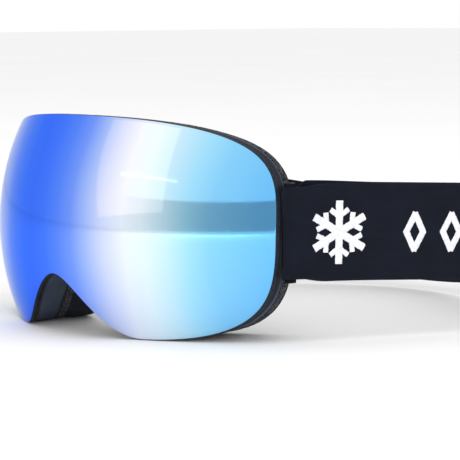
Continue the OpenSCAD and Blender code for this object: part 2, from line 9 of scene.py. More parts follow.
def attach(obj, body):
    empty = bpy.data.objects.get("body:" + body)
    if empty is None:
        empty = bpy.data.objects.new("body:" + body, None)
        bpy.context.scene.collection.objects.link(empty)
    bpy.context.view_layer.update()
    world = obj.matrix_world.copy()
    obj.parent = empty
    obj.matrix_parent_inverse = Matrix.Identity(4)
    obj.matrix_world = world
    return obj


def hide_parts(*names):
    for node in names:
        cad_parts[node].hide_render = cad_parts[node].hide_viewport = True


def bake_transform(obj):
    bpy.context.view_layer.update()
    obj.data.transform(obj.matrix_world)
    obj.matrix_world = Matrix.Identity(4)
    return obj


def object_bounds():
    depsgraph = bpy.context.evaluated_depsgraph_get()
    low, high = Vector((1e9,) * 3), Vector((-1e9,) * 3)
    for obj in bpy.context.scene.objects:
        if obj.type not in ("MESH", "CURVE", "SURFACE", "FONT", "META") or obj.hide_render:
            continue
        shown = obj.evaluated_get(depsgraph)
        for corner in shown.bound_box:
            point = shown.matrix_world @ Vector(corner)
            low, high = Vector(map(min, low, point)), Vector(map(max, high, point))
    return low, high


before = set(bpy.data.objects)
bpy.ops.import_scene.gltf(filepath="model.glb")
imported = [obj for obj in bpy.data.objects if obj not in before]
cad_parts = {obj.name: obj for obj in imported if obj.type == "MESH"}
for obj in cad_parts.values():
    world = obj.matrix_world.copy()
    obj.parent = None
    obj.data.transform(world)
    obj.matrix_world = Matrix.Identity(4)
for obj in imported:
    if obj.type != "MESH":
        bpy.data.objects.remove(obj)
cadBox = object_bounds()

mm = 0.001
scene = bpy.context.scene
scene.view_settings.view_transform = "Standard"
scene.view_settings.look = "None"


# ---- outlines, shared by the lens, the frame and the foam; they repeat the CAD source in metres

goggles = {
    "lensWidth": 174 * mm,
    "lensTop": 50.7 * mm,
    "lensBottom": 41 * mm,
    "lobeX": 38.5 * mm,
    "wideZ": 1.3 * mm,
    "noseZ": 15.5 * mm,
    "lensRadius": 104 * mm,
    "lensFront": 40 * mm,
    "lensThickness": 1.2 * mm,
    "lensLip": 0.35 * mm,           # how far the lens's front edge is eased over
    "lensGap": 3.2 * mm,
    "innerThickness": 0.8 * mm,
    "innerEdge": 0.78,              # where the inner lens ends, from the outline to the opening
    "seatDepth": 16.2 * mm,
    "seatRadius": 118 * mm,
    "faceRadius": 85 * mm,
    "browLean": 210 * mm,
    "glue": 0.1 * mm,
    # how far the outline's curves pull to their corners
    "browPull": 0.91,
    "templePullUp": 0.72,
    "templePullDown": 0.82,
    "cheekPull": 0.68,
    "lobePull": 0.6,
    "nosePull": 0.3,
}
lensCentreY = goggles["lensRadius"] - goggles["lensFront"]
seatCentreY = goggles["seatDepth"] - goggles["lensFront"] + goggles["seatRadius"]
bondRadius = goggles["lensRadius"] - goggles["lensThickness"] - goggles["glue"]
innerRadius = goggles["lensRadius"] - goggles["lensThickness"] - goggles["lensGap"]


def cubic(a, b, c, d, count):
    t = np.linspace(0, 1, count, endpoint=False)[:, None]
    a, b, c, d = (np.array(p, float) for p in (a, b, c, d))
    return a * (1 - t) ** 3 + 3 * b * (1 - t) ** 2 * t + 3 * c * (1 - t) * t ** 2 + d * t ** 3


def outline(top=0, side=0, lobe=0, nose=0, shift=0):
    # the lens edge, drawn inward by a width at the brow, temple, cheek and nose
    wideZ = goggles["wideZ"]
    width = goggles["lensWidth"] / 2 - side
    high = goggles["lensTop"] - top
    low = -(goggles["lensBottom"] - lobe)
    notch = -(goggles["noseZ"] - nose)
    lobeX = goggles["lobeX"] + shift
    brow = (goggles["browPull"] * width, high)
    templeUp = (width, wideZ + goggles["templePullUp"] * (high - wideZ))
    templeDown = (width, wideZ - goggles["templePullDown"] * (wideZ - low))
    cheek = (lobeX + goggles["cheekPull"] * (width - lobeX), low)
    lobeIn = (goggles["lobePull"] * lobeX, low)
    noseOut = (goggles["nosePull"] * lobeX, notch)
    half = np.concatenate([
        cubic((0, high), brow, templeUp, (width, wideZ), 100),
        cubic((width, wideZ), templeDown, cheek, (lobeX, low), 75),
        cubic((lobeX, low), lobeIn, noseOut, (0, notch), 65),
        [[0, notch]]])
    other = half[-2:0:-1] * [-1, 1]
    return np.concatenate([half, other])


def between(a, b, k):
    return a * (1 - k) + b * k


edge = outline()
opening = outline(12 * mm, 12.5 * mm, 11.5 * mm, 10.5 * mm, 11.5 / 3 * mm)
backEdge = outline(2.2 * mm, 1.8 * mm, 0.6 * mm)
seatEdge = between(edge, backEdge, 0.5)
faceEdge = outline(5 * mm, 18 * mm, 0.5 * mm, 0, -3 * mm)
faceOpening = outline(18 * mm, 31 * mm, 13.5 * mm, 10.4 * mm, (13 / 3 - 3) * mm)


def ballDepth(flat, radius, centreY):
    return centreY - np.sqrt(radius ** 2 - flat[:, 0] ** 2 - flat[:, 1] ** 2)


def onBall(flat, radius, centreY, back):
    return np.stack([flat[:, 0], ballDepth(flat, radius, centreY) + back, flat[:, 1]], 1)


def behindLens(k, back):
    return onBall(between(edge, opening, k), bondRadius, lensCentreY, back * mm)


def onSeat(k, back):
    return onBall(between(seatEdge, opening, k), goggles["seatRadius"], seatCentreY, back * mm)


def onBack(k, back):
    return onBall(between(backEdge, opening, k), goggles["seatRadius"], seatCentreY, back * mm)


def onFace(k, back):
    flat = between(faceEdge, faceOpening, k)
    faceRadius = goggles["faceRadius"]
    depth = (faceRadius - np.sqrt(faceRadius ** 2 - flat[:, 0] ** 2)
             + flat[:, 1] ** 2 / (2 * goggles["browLean"]))
    return np.stack([flat[:, 0], depth + back * mm, flat[:, 1]], 1)


# ---- mesh makers

def meshPiece(name, points, faces, material, uv=None, smooth=True):
    mesh = bpy.data.meshes.new(name)
    mesh.from_pydata([tuple(p) for p in points], [], [tuple(f) for f in faces])
    if uv is not None:
        layer = mesh.uv_layers.new(name="UVMap")
        corners = np.empty(len(mesh.loops), np.int32)
        mesh.loops.foreach_get("vertex_index", corners)
        layer.data.foreach_set("uv", np.asarray(uv, np.float32)[corners].ravel())
    mesh.validate()
    if smooth:
        mesh.polygons.foreach_set("use_smooth", [True] * len(mesh.polygons))
    mesh.update()
    piece = bpy.data.objects.new(name, mesh)
    scene.collection.objects.link(piece)
    if material is not None:
        mesh.materials.append(material)
    return piece


def lengthAlong(line):
    gaps = np.linalg.norm(np.diff(line, axis=0), axis=1)
    return np.concatenate([[0], np.cumsum(gaps)])


def evenly(rails, count):
    # moves every rail's points to even steps along the middle rail
    closed = [np.concatenate([r, r[:1]]) for r in rails]
    walk = lengthAlong(sum(closed) / len(closed))
    want = np.linspace(0, walk[-1], count, endpoint=False)
    return [np.stack([np.interp(want, walk, r[:, i]) for i in range(3)], 1) for r in closed]


def roundSection(rails, sharp, cuts):
    # rounds the closed cross-section; sharp is how far the curve keeps to each corner
    m = len(rails)
    result = []
    for j in range(m):
        before, here, after = rails[j - 1], rails[j], rails[(j + 1) % m]
        keep = sharp[j] if isinstance(sharp, (list, tuple)) else sharp
        start = here + (before - here) * (1 - keep) / 2
        end = here + (after - here) * (1 - keep) / 2
        for i in range(cuts + 1):
            t = i / cuts
            result.append(start * (1 - t) ** 2 + here * 2 * t * (1 - t) + end * t ** 2)
    return result


def ringPiece(name, rails, material, sharp=0.5, cuts=4, count=384, splits=2):
    # a closed ring; splits adds lines across its flat faces
    rails = roundSection(evenly(rails, count), sharp, cuts)
    dense = []
    for j, rail in enumerate(rails):
        after = rails[(j + 1) % len(rails)]
        span = np.linalg.norm(after - rail, axis=1).mean()
        parts = splits if span > 1.2 * mm else 1
        dense += [rail + (after - rail) * i / parts for i in range(parts)]
    m, n = len(dense), count
    points = np.concatenate(dense)
    faces = []
    for j in range(m):
        for i in range(n):
            faces.append((j * n + i, ((j + 1) % m) * n + i,
                          ((j + 1) % m) * n + (i + 1) % n, j * n + (i + 1) % n))
    piece = meshPiece(name, points, faces, material)
    outward(piece)
    return piece


def tubeFaces(rows, around):
    # the walls between rows of points that go round a tube, and its two ends
    faces = []
    for j in range(rows - 1):
        for i in range(around):
            k = (i + 1) % around
            faces.append((j * around + i, j * around + k, (j + 1) * around + k, (j + 1) * around + i))
    faces.append(tuple(range(around))[::-1])
    faces.append(tuple((rows - 1) * around + i for i in range(around)))
    return faces


def outward(piece):
    # turns the mesh inside out if its volume comes out negative
    mesh = piece.data
    total = 0.0
    for face in mesh.polygons:
        corners = [mesh.vertices[i].co for i in face.vertices]
        for i in range(1, len(corners) - 1):
            total += corners[0].dot(corners[i].cross(corners[i + 1]))
    if total < 0:
        mesh.flip_normals()


def railBar(name, rails, material, side, smooth=True):
    # a bar along its rails, closed at both ends; side -1 puts it on the wearer's right
    m, count = len(rails), len(rails[0])
    faces = []
    for j in range(m):
        k = (j + 1) % m
        for i in range(count - 1):
            faces.append((j * count + i, k * count + i, k * count + i + 1, j * count + i + 1))
    faces.append(tuple(j * count for j in range(m)))
    faces.append(tuple(j * count + count - 1 for j in reversed(range(m))))
    bar = meshPiece(name, np.concatenate(rails), faces, material, smooth=smooth)
    if side < 0:
        bar.data.transform(Matrix.Scale(-1, 4, (1, 0, 0)))
    outward(bar)
    return bar


def roughen(piece, height, size, seed):
    # real relief: each point moves along its normal by two scales of noise
    mesh = piece.data
    shift = Vector((seed * 3.1, seed * 1.7, seed * 2.3))
    moved = []
    for vertex in mesh.vertices:
        at = vertex.co / size + shift
        lift = noise.noise(at) + 0.5 * noise.noise(at * 2.7)
        moved.append(vertex.co + vertex.normal * lift * height)
    for vertex, place in zip(mesh.vertices, moved):
        vertex.co = place
    mesh.update()


def applyModifiers(piece):
    depsgraph = bpy.context.evaluated_depsgraph_get()
    mesh = bpy.data.meshes.new_from_object(piece.evaluated_get(depsgraph))
    piece.modifiers.clear()
    piece.data = mesh


def cutAway(piece, cutters):
    for cutter in cutters:
        step = piece.modifiers.new("cut", "BOOLEAN")
        step.operation = "DIFFERENCE"
        step.solver = "EXACT"
        step.object = cutter
    applyModifiers(piece)
    for cutter in cutters:
        bpy.data.objects.remove(cutter)


def bevelEdges(piece, width, segments=3, angle=40):
    step = piece.modifiers.new("bevel", "BEVEL")
    step.width = width
    step.segments = segments
    step.limit_method = "ANGLE"
    step.angle_limit = math.radians(angle)
    applyModifiers(piece)


def blockPoints(low, high):
    (x0, y0, z0), (x1, y1, z1) = low, high
    points = [(x0, y0, z0), (x1, y0, z0), (x1, y1, z0), (x0, y1, z0),
              (x0, y0, z1), (x1, y0, z1), (x1, y1, z1), (x0, y1, z1)]
    faces = [(0, 3, 2, 1), (4, 5, 6, 7), (0, 1, 5, 4), (1, 2, 6, 5), (2, 3, 7, 6), (3, 0, 4, 7)]
    return points, faces


def joinPieces(pieces, name):
    for other in bpy.context.selected_objects:
        other.select_set(False)
    for piece in pieces:
        piece.select_set(True)
    bpy.context.view_layer.objects.active = pieces[0]
    bpy.ops.object.join()
    pieces[0].name = name
    pieces[0].data.name = name
    return pieces[0]


def mirrored(piece, name):
    # a copy on the wearer's right
    copy = piece.copy()
    copy.data = piece.data.copy()
    copy.name = name
    copy.data.name = name
    scene.collection.objects.link(copy)
    copy.data.transform(Matrix.Scale(-1, 4, (1, 0, 0)))
    copy.data.flip_normals()
    return copy


# ---- materials

class Finish:
    # a material being wired: adds nodes and links them with little writing

    def __init__(self, name):
        self.material = bpy.data.materials.new(name)
        self.material.use_nodes = True
        self.tree = self.material.node_tree
        self.shader = self.tree.nodes["Principled BSDF"]

    def add(self, kind, **values):
        node = self.tree.nodes.new(kind)
        for key, value in values.items():
            if key in node.inputs:
                node.inputs[key].default_value = value
            else:
                setattr(node, key, value)
        return node

    def link(self, source, output, target, socket):
        self.tree.links.new(source.outputs[output], target.inputs[socket])

    def set(self, **values):
        for key, value in values.items():
            self.shader.inputs[key.replace("_", " ")].default_value = value

    def place(self, kind="Object", scale=None):
        spot = self.add("ShaderNodeTexCoord")
        if scale is None:
            return spot, kind
        stretch = self.add("ShaderNodeMapping")
        stretch.inputs["Scale"].default_value = scale
        self.link(spot, kind, stretch, "Vector")
        return stretch, "Vector"

    def grain(self, scale, detail=2.0, rough=0.5, at=None):
        texture = self.add("ShaderNodeTexNoise")
        texture.inputs["Scale"].default_value = scale
        texture.inputs["Detail"].default_value = detail
        texture.inputs["Roughness"].default_value = rough
        spot, output = at or self.place()
        self.link(spot, output, texture, "Vector")
        return texture

    def ramp(self, source, output, stops):
        ramp = self.add("ShaderNodeValToRGB")
        marks = ramp.color_ramp.elements
        while len(marks) < len(stops):
            marks.new(0.5)
        for mark, (place, tint) in zip(marks, stops):
            mark.position = place
            mark.color = (*tint, 1) if len(tint) == 3 else tint
        self.link(source, output, ramp, "Fac")
        return ramp

    def feed(self, socket, source, output, stops):
        # gives a texture to the shader through a ramp
        self.link(self.ramp(source, output, stops), "Color", self.shader, socket)

    def math(self, kind, first, second=None, amount=None):
        node = self.add("ShaderNodeMath", operation=kind)
        self.link(first[0], first[1], node, 0)
        if second is not None:
            self.link(second[0], second[1], node, 1)
        if amount is not None:
            node.inputs[1].default_value = amount
        return node

    def bump(self, source, output, distance, strength=1.0):
        relief = self.add("ShaderNodeBump")
        relief.inputs["Distance"].default_value = distance
        relief.inputs["Strength"].default_value = strength
        self.link(source, output, relief, "Height")
        self.link(relief, "Normal", self.shader, "Normal")


def grey(level):
    return (level, level, level)


coatingAndPaintedReflection = {
    "middleOffset": -14 * mm,       # the deepest blue lies a little off the middle
    "reach": 100 * mm,
    "farSide": 1.25,                # the colours run closer together on the far side
    # the base colour from the deepest blue out to the temple: the deep blue is the coating's own, while the
    # pale band and the lighter blues beyond it are painted reflection of bright light
    "stops": [(0.0, (0.045, 0.160, 0.95)), (0.095, (0.052, 0.178, 0.96)), (0.19, (0.088, 0.228, 0.95)),
              (0.276, (0.165, 0.305, 0.95)), (0.35, (0.34, 0.48, 0.96)), (0.435, (0.60, 0.68, 0.97)),
              (0.53, (0.79, 0.86, 0.98)), (0.61, (0.74, 0.89, 0.98)), (0.70, (0.56, 0.83, 0.98)),
              (0.77, (0.37, 0.75, 0.98)), (0.85, (0.25, 0.64, 0.97)), (1.0, (0.16, 0.54, 0.96))],
}


def mirrorFinish():
    made = Finish("blueMirror")
    spot, output = made.place()
    apart = made.add("ShaderNodeSeparateXYZ")
    made.link(spot, output, apart, "Vector")
    waver = made.grain(18, 1.0)
    drift = made.math("MULTIPLY_ADD", (waver, "Fac"), amount=9 * mm)
    drift.inputs[2].default_value = -4.5 * mm - coatingAndPaintedReflection["middleOffset"]
    across = made.math("ADD", (apart, "X"), (drift, "Value"))
    farSide = made.math("MULTIPLY", (across, "Value"), amount=-coatingAndPaintedReflection["farSide"])
    distance = made.math("MAXIMUM", (across, "Value"), (farSide, "Value"))
    share = made.math("DIVIDE", (distance, "Value"), amount=coatingAndPaintedReflection["reach"])
    # painted reflection: the base colour is set by place across the lens, so a pale band and lighter blues
    # stand in for light reflected in the blue coating
    made.feed("Base Color", share, "Value", coatingAndPaintedReflection["stops"])
    dust = made.grain(260, 3.0)
    made.feed("Roughness", dust, "Fac", [(0.35, grey(0.045)), (0.75, grey(0.085))])
    made.set(Metallic=1.0, Coat_Weight=0.15, Coat_Roughness=0.03, Coat_IOR=1.4,
             Specular_Tint=(0.42, 0.52, 0.86, 1))
    ripple = made.grain(22, 1.0)
    made.bump(ripple, "Fac", 0.05 * mm, 0.5)
    return made.material


def cloudyFinish(name, scale, dark, light, relief=0, lightFrom=0.7, **settings):
    # a smooth surface with a faint cloudy tint
    made = Finish(name)
    cloud = made.grain(scale)
    made.feed("Base Color", cloud, "Fac", [(0.3, dark), (lightFrom, light)])
    made.set(**settings)
    if relief:
        made.bump(cloud, "Fac", relief)
    return made.material


def clearFinish():
    made = Finish("clearLens")
    wipe = made.grain(120, 2.0)
    made.feed("Roughness", wipe, "Fac", [(0.3, grey(0.010)), (0.8, grey(0.025))])
    made.shader.inputs["Base Color"].default_value = (0.80, 0.84, 0.86, 1)
    made.set(Transmission_Weight=0.92, IOR=1.3)
    return made.material


def plasticFinish(name, dark, light, roughness, grainSize=0.35 * mm, relief=0.03 * mm, gloss=0.45):
    # moulded plastic: fine grain, uneven sheen and faint flow marks
    made = Finish(name)
    texture = made.grain(1 / grainSize, 2.0)
    flow = made.grain(45, 3.0)
    made.feed("Base Color", flow, "Fac", [(0.3, dark), (0.75, light)])
    made.feed("Roughness", texture, "Fac", [(0.3, grey(roughness - 0.06)), (0.7, grey(roughness + 0.08))])
    made.set(Specular_IOR_Level=gloss)
    made.bump(texture, "Fac", relief)
    return made.material


def foamFinish(name, dark, light, poreSize, relief, low=0.35):
    # open foam: cells with pits between the cell walls; the base colour carries painted shade, dark in the
    # pits and pale on the walls
    made = Finish(name)
    cells = made.add("ShaderNodeTexVoronoi", feature="DISTANCE_TO_EDGE")
    cells.inputs["Scale"].default_value = 1 / poreSize
    spot, output = made.place()
    wobble = made.grain(0.6 / poreSize, 2.0)
    push = made.add("ShaderNodeMixRGB", blend_type="LINEAR_LIGHT")
    push.inputs["Fac"].default_value = 0.0006
    made.link(spot, output, push, "Color1")
    made.link(wobble, "Color", push, "Color2")
    made.link(push, "Color", cells, "Vector")
    pits = made.ramp(cells, "Distance", [(0.0, grey(1.0)), (0.22, grey(0.28)), (0.6, grey(0.0))])
    crumbs = made.grain(0.5 / poreSize, 3.0)
    height = made.math("ADD", (pits, "Color"), (crumbs, "Fac"))
    share = made.math("MULTIPLY", (height, "Value"), amount=0.6)
    # painted shade: the base colour follows the relief's height, so the pits come out dark
    made.feed("Base Color", share, "Value", [(low * 0.6, dark), (0.8, light)])
    made.set(Roughness=0.95, Specular_IOR_Level=0.06, Sheen_Weight=0.03, Sheen_Roughness=0.5)
    made.bump(height, "Value", relief, 0.9)
    return made.material


def fleeceFinish():
    made = Finish("fleece")
    tufts = made.grain(1400, 3.0, 0.7)
    clumps = made.grain(220, 3.0)
    height = made.math("ADD", (tufts, "Fac"), (clumps, "Fac"))
    # painted shade: the base colour follows the tufts' height, darker where the relief is low
    made.feed("Base Color", height, "Value", [(0.55, (0.007, 0.007, 0.009)), (1.3, (0.030, 0.031, 0.037))])
    made.set(Roughness=1.0, Specular_IOR_Level=0.1, Sheen_Weight=0.08, Sheen_Roughness=0.6)
    made.bump(height, "Value", 0.35 * mm, 0.8)
    return made.material


weave = {"rib": 0.46 * mm, "pick": 0.52 * mm, "relief": 0.10 * mm, "pickShare": 0.8}


def webbingFinish():
    # knitted elastic: ribs run along the strap, picks cross them half a step apart
    made = Finish("elasticWebbing")
    spot, output = made.place("UV")
    apart = made.add("ShaderNodeSeparateXYZ")
    made.link(spot, output, apart, "Vector")
    ribs = made.math("MULTIPLY", (apart, "Y"), amount=1 / weave["rib"])
    row = made.math("FLOOR", (ribs, "Value"))
    odd = made.math("MULTIPLY", (row, "Value"), amount=0.5)
    picks = made.math("MULTIPLY", (apart, "X"), amount=1 / weave["pick"])
    staggered = made.math("ADD", (picks, "Value"), (odd, "Value"))
    alongPick = made.math("MULTIPLY", (staggered, "Value"), amount=2 * math.pi)
    pickWave = made.math("SINE", (alongPick, "Value"))
    acrossRib = made.math("MULTIPLY", (ribs, "Value"), amount=math.pi)
    ribWave = made.math("SINE", (acrossRib, "Value"))
    ribHeight = made.math("ABSOLUTE", (ribWave, "Value"))
    pickPart = made.math("MULTIPLY", (pickWave, "Value"), amount=weave["pickShare"])
    pickShare = made.math("MULTIPLY", (pickPart, "Value"), (ribHeight, "Value"))
    knit = made.math("ADD", (ribHeight, "Value"), (pickShare, "Value"))
    fuzz = made.grain(2600, 3.0)
    uneven = made.grain(90, 3.0)
    fuzzPart = made.math("MULTIPLY", (fuzz, "Fac"), amount=0.5)
    height = made.math("ADD", (knit, "Value"), (fuzzPart, "Value"))
    # painted shade: the base colour follows the knit's height, dark in the grooves between the ribs and
    # lighter on their crowns
    tint = made.ramp(height, "Value", [(0.15, (0.0018, 0.0026, 0.0060)), (0.8, (0.0060, 0.0084, 0.0165)),
                                       (1.0, (0.0150, 0.0195, 0.0330))])
    patches = made.ramp(uneven, "Fac", [(0.3, grey(0.78)), (0.7, grey(1.0))])
    mixed = made.add("ShaderNodeMixRGB", blend_type="MULTIPLY")
    mixed.inputs["Fac"].default_value = 1.0
    made.link(tint, "Color", mixed, "Color1")
    made.link(patches, "Color", mixed, "Color2")
    made.link(mixed, "Color", made.shader, "Base Color")
    made.set(Roughness=0.92, Specular_IOR_Level=0.10, Sheen_Weight=0.03, Sheen_Roughness=0.5)
    made.bump(height, "Value", weave["relief"], 0.9)
    return made.material


def threadFinish():
    made = Finish("satinThread")
    spot, output = made.place("UV")
    apart = made.add("ShaderNodeSeparateXYZ")
    made.link(spot, output, apart, "Vector")
    turns = made.math("MULTIPLY", (apart, "X"), amount=2 * math.pi / (0.16 * mm))
    strands = made.math("SINE", (turns, "Value"))
    uneven = made.grain(700, 3.0)
    made.feed("Base Color", uneven, "Fac", [(0.3, (0.74, 0.75, 0.82)), (0.7, (0.90, 0.91, 0.97))])
    made.set(Roughness=0.5, Specular_IOR_Level=0.5, Sheen_Weight=0.3, Sheen_Roughness=0.3)
    made.bump(strands, "Value", 0.02 * mm, 0.6)
    return made.material


def steelFinish(name, tone, roughness, lines=True):
    made = Finish(name)
    spot = made.place("Object", (900, 900, 60) if lines else (400, 400, 400))
    streaks = made.grain(1.0, 3.0, at=spot)
    made.feed("Base Color", streaks, "Fac", [(0.3, tuple(c * 0.8 for c in tone)), (0.7, tone)])
    made.feed("Roughness", streaks, "Fac", [(0.3, grey(roughness)), (0.7, grey(roughness + 0.14))])
    made.set(Metallic=1.0)
    made.bump(streaks, "Fac", 0.01 * mm)
    return made.material


blueMirror = mirrorFinish()
lensEdge = cloudyFinish("lensEdge", 900, (0.010, 0.013, 0.022), (0.022, 0.028, 0.044), 0.02 * mm,
                        Roughness=0.45, Specular_IOR_Level=0.12)
lensBack = cloudyFinish("lensBack", 60, (0.030, 0.034, 0.042), (0.045, 0.050, 0.060), lightFrom=0.8,
                        Roughness=0.12, Coat_Weight=0.2)
clearLens = clearFinish()
hardPlastic = plasticFinish("hardPlastic", (0.014, 0.016, 0.021), (0.024, 0.027, 0.034), 0.45, gloss=0.10)
softFrame = plasticFinish("softFrame", (0.040, 0.052, 0.080), (0.062, 0.079, 0.115), 0.62,
                          0.5 * mm, 0.06 * mm, 0.08)
darkPlastic = plasticFinish("darkPlastic", (0.004, 0.004, 0.006), (0.009, 0.009, 0.012), 0.55, gloss=0.06)
spacerFoam = foamFinish("spacerFoam", (0.006, 0.006, 0.007), (0.025, 0.025, 0.029), 0.25 * mm, 0.08 * mm)
ventFoam = foamFinish("ventFoam", (0.003, 0.003, 0.004), (0.028, 0.028, 0.033), 0.8 * mm, 0.45 * mm)
coarseFoam = foamFinish("coarseFoam", (0.002, 0.002, 0.004), (0.105, 0.110, 0.125), 1.0 * mm, 0.5 * mm,
                        low=0.75)
faceFoam = foamFinish("faceFoam", (0.002, 0.003, 0.006), (0.030, 0.034, 0.050), 0.7 * mm, 0.30 * mm, low=0.6)
fleece = fleeceFinish()
webbing = webbingFinish()
thread = threadFinish()
nickel = steelFinish("nickel", (0.62, 0.60, 0.57), 0.16, False)
blackSteel = steelFinish("blackSteel", (0.030, 0.030, 0.035), 0.40)
silicone = cloudyFinish("silicone", 500, (0.40, 0.42, 0.46), (0.55, 0.57, 0.61), 0.05 * mm,
                        Roughness=0.3, Coat_Weight=0.4, Transmission_Weight=0.15)
print("materials made")


# ---- lens

def lensShell(name, radius, thickness, k, finish, sideFinish, backFinish, rings=56, count=480):
    # a patch of a sphere: front and back grids run from the middle out to the edge
    border = between(edge, opening, k)
    closed = np.concatenate([border, border[:1]])
    walk = lengthAlong(closed)
    want = np.linspace(0, walk[-1], count, endpoint=False)
    border = np.stack([np.interp(want, walk, closed[:, i]) for i in range(2)], 1)
    middle = np.array([0, 9 * mm])
    lip = goggles["lensLip"]
    spoke = border - middle
    reach = np.linalg.norm(spoke, axis=1, keepdims=True)
    points = []
    for i in range(1, rings + 1):
        points.append(onBall(middle + spoke * (i / rings) * (reach - lip) / reach, radius, lensCentreY, 0))
    for turn in (30, 60, 90):                      # the front edge is eased over
        a = math.radians(turn)
        flat = middle + spoke * (reach - lip * (1 - math.sin(a))) / reach
        points.append(onBall(flat, radius, lensCentreY, lip * (1 - math.cos(a))))
    rounds = len(points)
    points.append(onBall(border, radius - thickness, lensCentreY, 0))
    for i in range(rings - 1, 0, -1):
        points.append(onBall(middle + spoke * i / rings, radius - thickness, lensCentreY, 0))
    tips = [onBall(middle[None, :], r, lensCentreY, 0)[0] for r in (radius, radius - thickness)]
    rows = len(points)
    points = np.concatenate(points + [np.array(tips)])
    faces, slots = [], []
    for i in range(count):
        j = (i + 1) % count
        faces.append((rows * count, i, j))
        slots.append(0)
        for r in range(rows - 1):
            faces.append((r * count + i, (r + 1) * count + i, (r + 1) * count + j, r * count + j))
            slots.append(0 if r < rounds - 2 else 1 if r < rounds else 2)
        last = (rows - 1) * count
        faces.append((rows * count + 1, last + j, last + i))
        slots.append(2)
    piece = meshPiece(name, points, faces, finish)
    piece.data.materials.append(sideFinish)
    piece.data.materials.append(backFinish)
    piece.data.polygons.foreach_set("material_index", slots)
    outward(piece)
    piece.data.set_sharp_from_angle(angle=math.radians(50))
    return piece


outerLens = lensShell("mirrorLens", goggles["lensRadius"], goggles["lensThickness"], 0,
                      blueMirror, lensEdge, lensBack)
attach(outerLens, "lens")
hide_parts("outer_lens")

innerLens = lensShell("clearInnerLens", innerRadius, goggles["innerThickness"], goggles["innerEdge"],
                      clearLens, clearLens, clearLens, 30, 320)
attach(innerLens, "lens")
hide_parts("inner_lens")

carrier = {"inner": 0.58, "thickness": 1.0, "gasketAt": 0.84, "gasketWidth": 0.12}
lensCarrier = ringPiece("lensCarrier", [
    behindLens(0.01, 0), behindLens(0.01, carrier["thickness"]),
    behindLens(0.25, carrier["thickness"]), behindLens(carrier["inner"], carrier["thickness"]),
    behindLens(carrier["inner"], 0), behindLens(0.25, 0)], hardPlastic, 0.72, 3)
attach(lensCarrier, "lens")
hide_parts("lens_carrier")

gasketNear = between(edge, opening, carrier["gasketAt"])
gasketFar = between(edge, opening, carrier["gasketAt"] + carrier["gasketWidth"])
gasketBack = innerRadius + goggles["glue"]
lensGasket = ringPiece("spacerRing", [
    onBall(gasketNear, bondRadius, lensCentreY, 0), onBall(gasketNear, gasketBack, lensCentreY, 0),
    onBall(gasketFar, gasketBack, lensCentreY, 0), onBall(gasketFar, bondRadius, lensCentreY, 0)],
    spacerFoam, 0.7, 3)
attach(lensGasket, "lens")
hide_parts("lens_gasket")
print("lens made")


# ---- frame

frameSizes = {
    "rimFront": 1.4, "rimBack": 2.6, "wallFront": 2.7, "wallInner": 0.12, "linerInner": 0.25,
    "flange": 1.2, "groove": 0.06,      # the flange lies a little inside the wall and the foam
    "topVents": (-18, -6, 6, 18), "lowVents": (57, 67), "ventWidth": 7.5, "ventStart": 1.2,
    "ventLength": 3.6, "topVentZ": 48.7, "lowVentZ": -36, "topCutFrom": 40.7, "lowCutFrom": -50,
    "cutHeight": 22,
    "webLap": 0.03, "webFront": 0.3, "ventFoamFrom": 0.02, "ventFoamTo": 0.2, "ventFoamFront": 0.5,
    "seatGap": 0.2,
    # stretches of the outline, counted in its points from the brow's middle towards the left temple
    "webSpan": (65, 131), "topFoamSpan": (-30, 30), "lowFoamSpan": (140, 160),
}
strap = {
    "width": 40 * mm, "foldWidth": 37.5 * mm, "thickness": 1.4 * mm, "height": 3.7 * mm,
    "pinDiameter": 2.4 * mm, "leaveAngle": 20, "sideRun": 80 * mm, "earRadius": 45 * mm,
    "earTurn": 80, "slideRun": 64 * mm, "foldLift": 1.2 * mm, "layerLift": 0.3 * mm,
    "lugClear": 4 * mm, "fullWidth": 8 * mm, "sideFall": 0.042, "slideFall": 0.14,
    "levelRun": 40 * mm, "layerGap": 0.5 * mm, "converge": 25 * mm, "foldSteps": 24,
    "widenFrom": 6 * mm, "widenTo": 16 * mm,
    "edgeRound": 0.42, "wrapGap": 0.15 * mm,       # the gap between a pin or bar and the strap round it
}
lug = {"thickness": 1.2 * mm, "radius": strap["pinDiameter"] / 2 + 0.8 * mm, "slip": 0.3 * mm,
       "pinOut": 1.8 * mm, "pinBack": 6 * mm, "plateIn": 3.5 * mm, "plateBack": 2 * mm,
       "plateLength": 3 * mm, "notchRun": 20 * mm, "notchRound": 0.6 * mm}
leaveAngle = math.radians(strap["leaveAngle"])
leaveDir = np.array([math.sin(leaveAngle), math.cos(leaveAngle)])
leaveOut = np.array([math.cos(leaveAngle), -math.sin(leaveAngle)])
pinX = goggles["lensWidth"] / 2 + lug["pinOut"]
pinY = lensCentreY - math.sqrt(goggles["lensRadius"] ** 2 - (goggles["lensWidth"] / 2) ** 2
                               - strap["height"] ** 2) + lug["pinBack"]
lugLow = strap["height"] - strap["foldWidth"] / 2 - lug["slip"] - lug["thickness"]
lugHigh = strap["height"] + strap["foldWidth"] / 2 + lug["slip"]
plateX = pinX - lug["plateIn"]
plateY = pinY + lug["plateBack"]


def notchCutter(side):
    slip = lug["slip"]
    low = (plateX - slip, pinY - lug["radius"] - slip, lugLow - slip)
    high = (plateX - slip + lug["notchRun"], plateY + lug["plateLength"] + slip,
            lugHigh + lug["thickness"] + slip)
    points, faces = blockPoints(low, high)
    cutter = meshPiece("notchCutter", points, faces, None, smooth=False)
    if side < 0:
        cutter.data.transform(Matrix.Scale(-1, 4, (1, 0, 0)))
        cutter.data.flip_normals()
    step = cutter.modifiers.new("round", "BEVEL")
    step.width = lug["notchRound"]
    step.segments = 3
    applyModifiers(cutter)
    return cutter


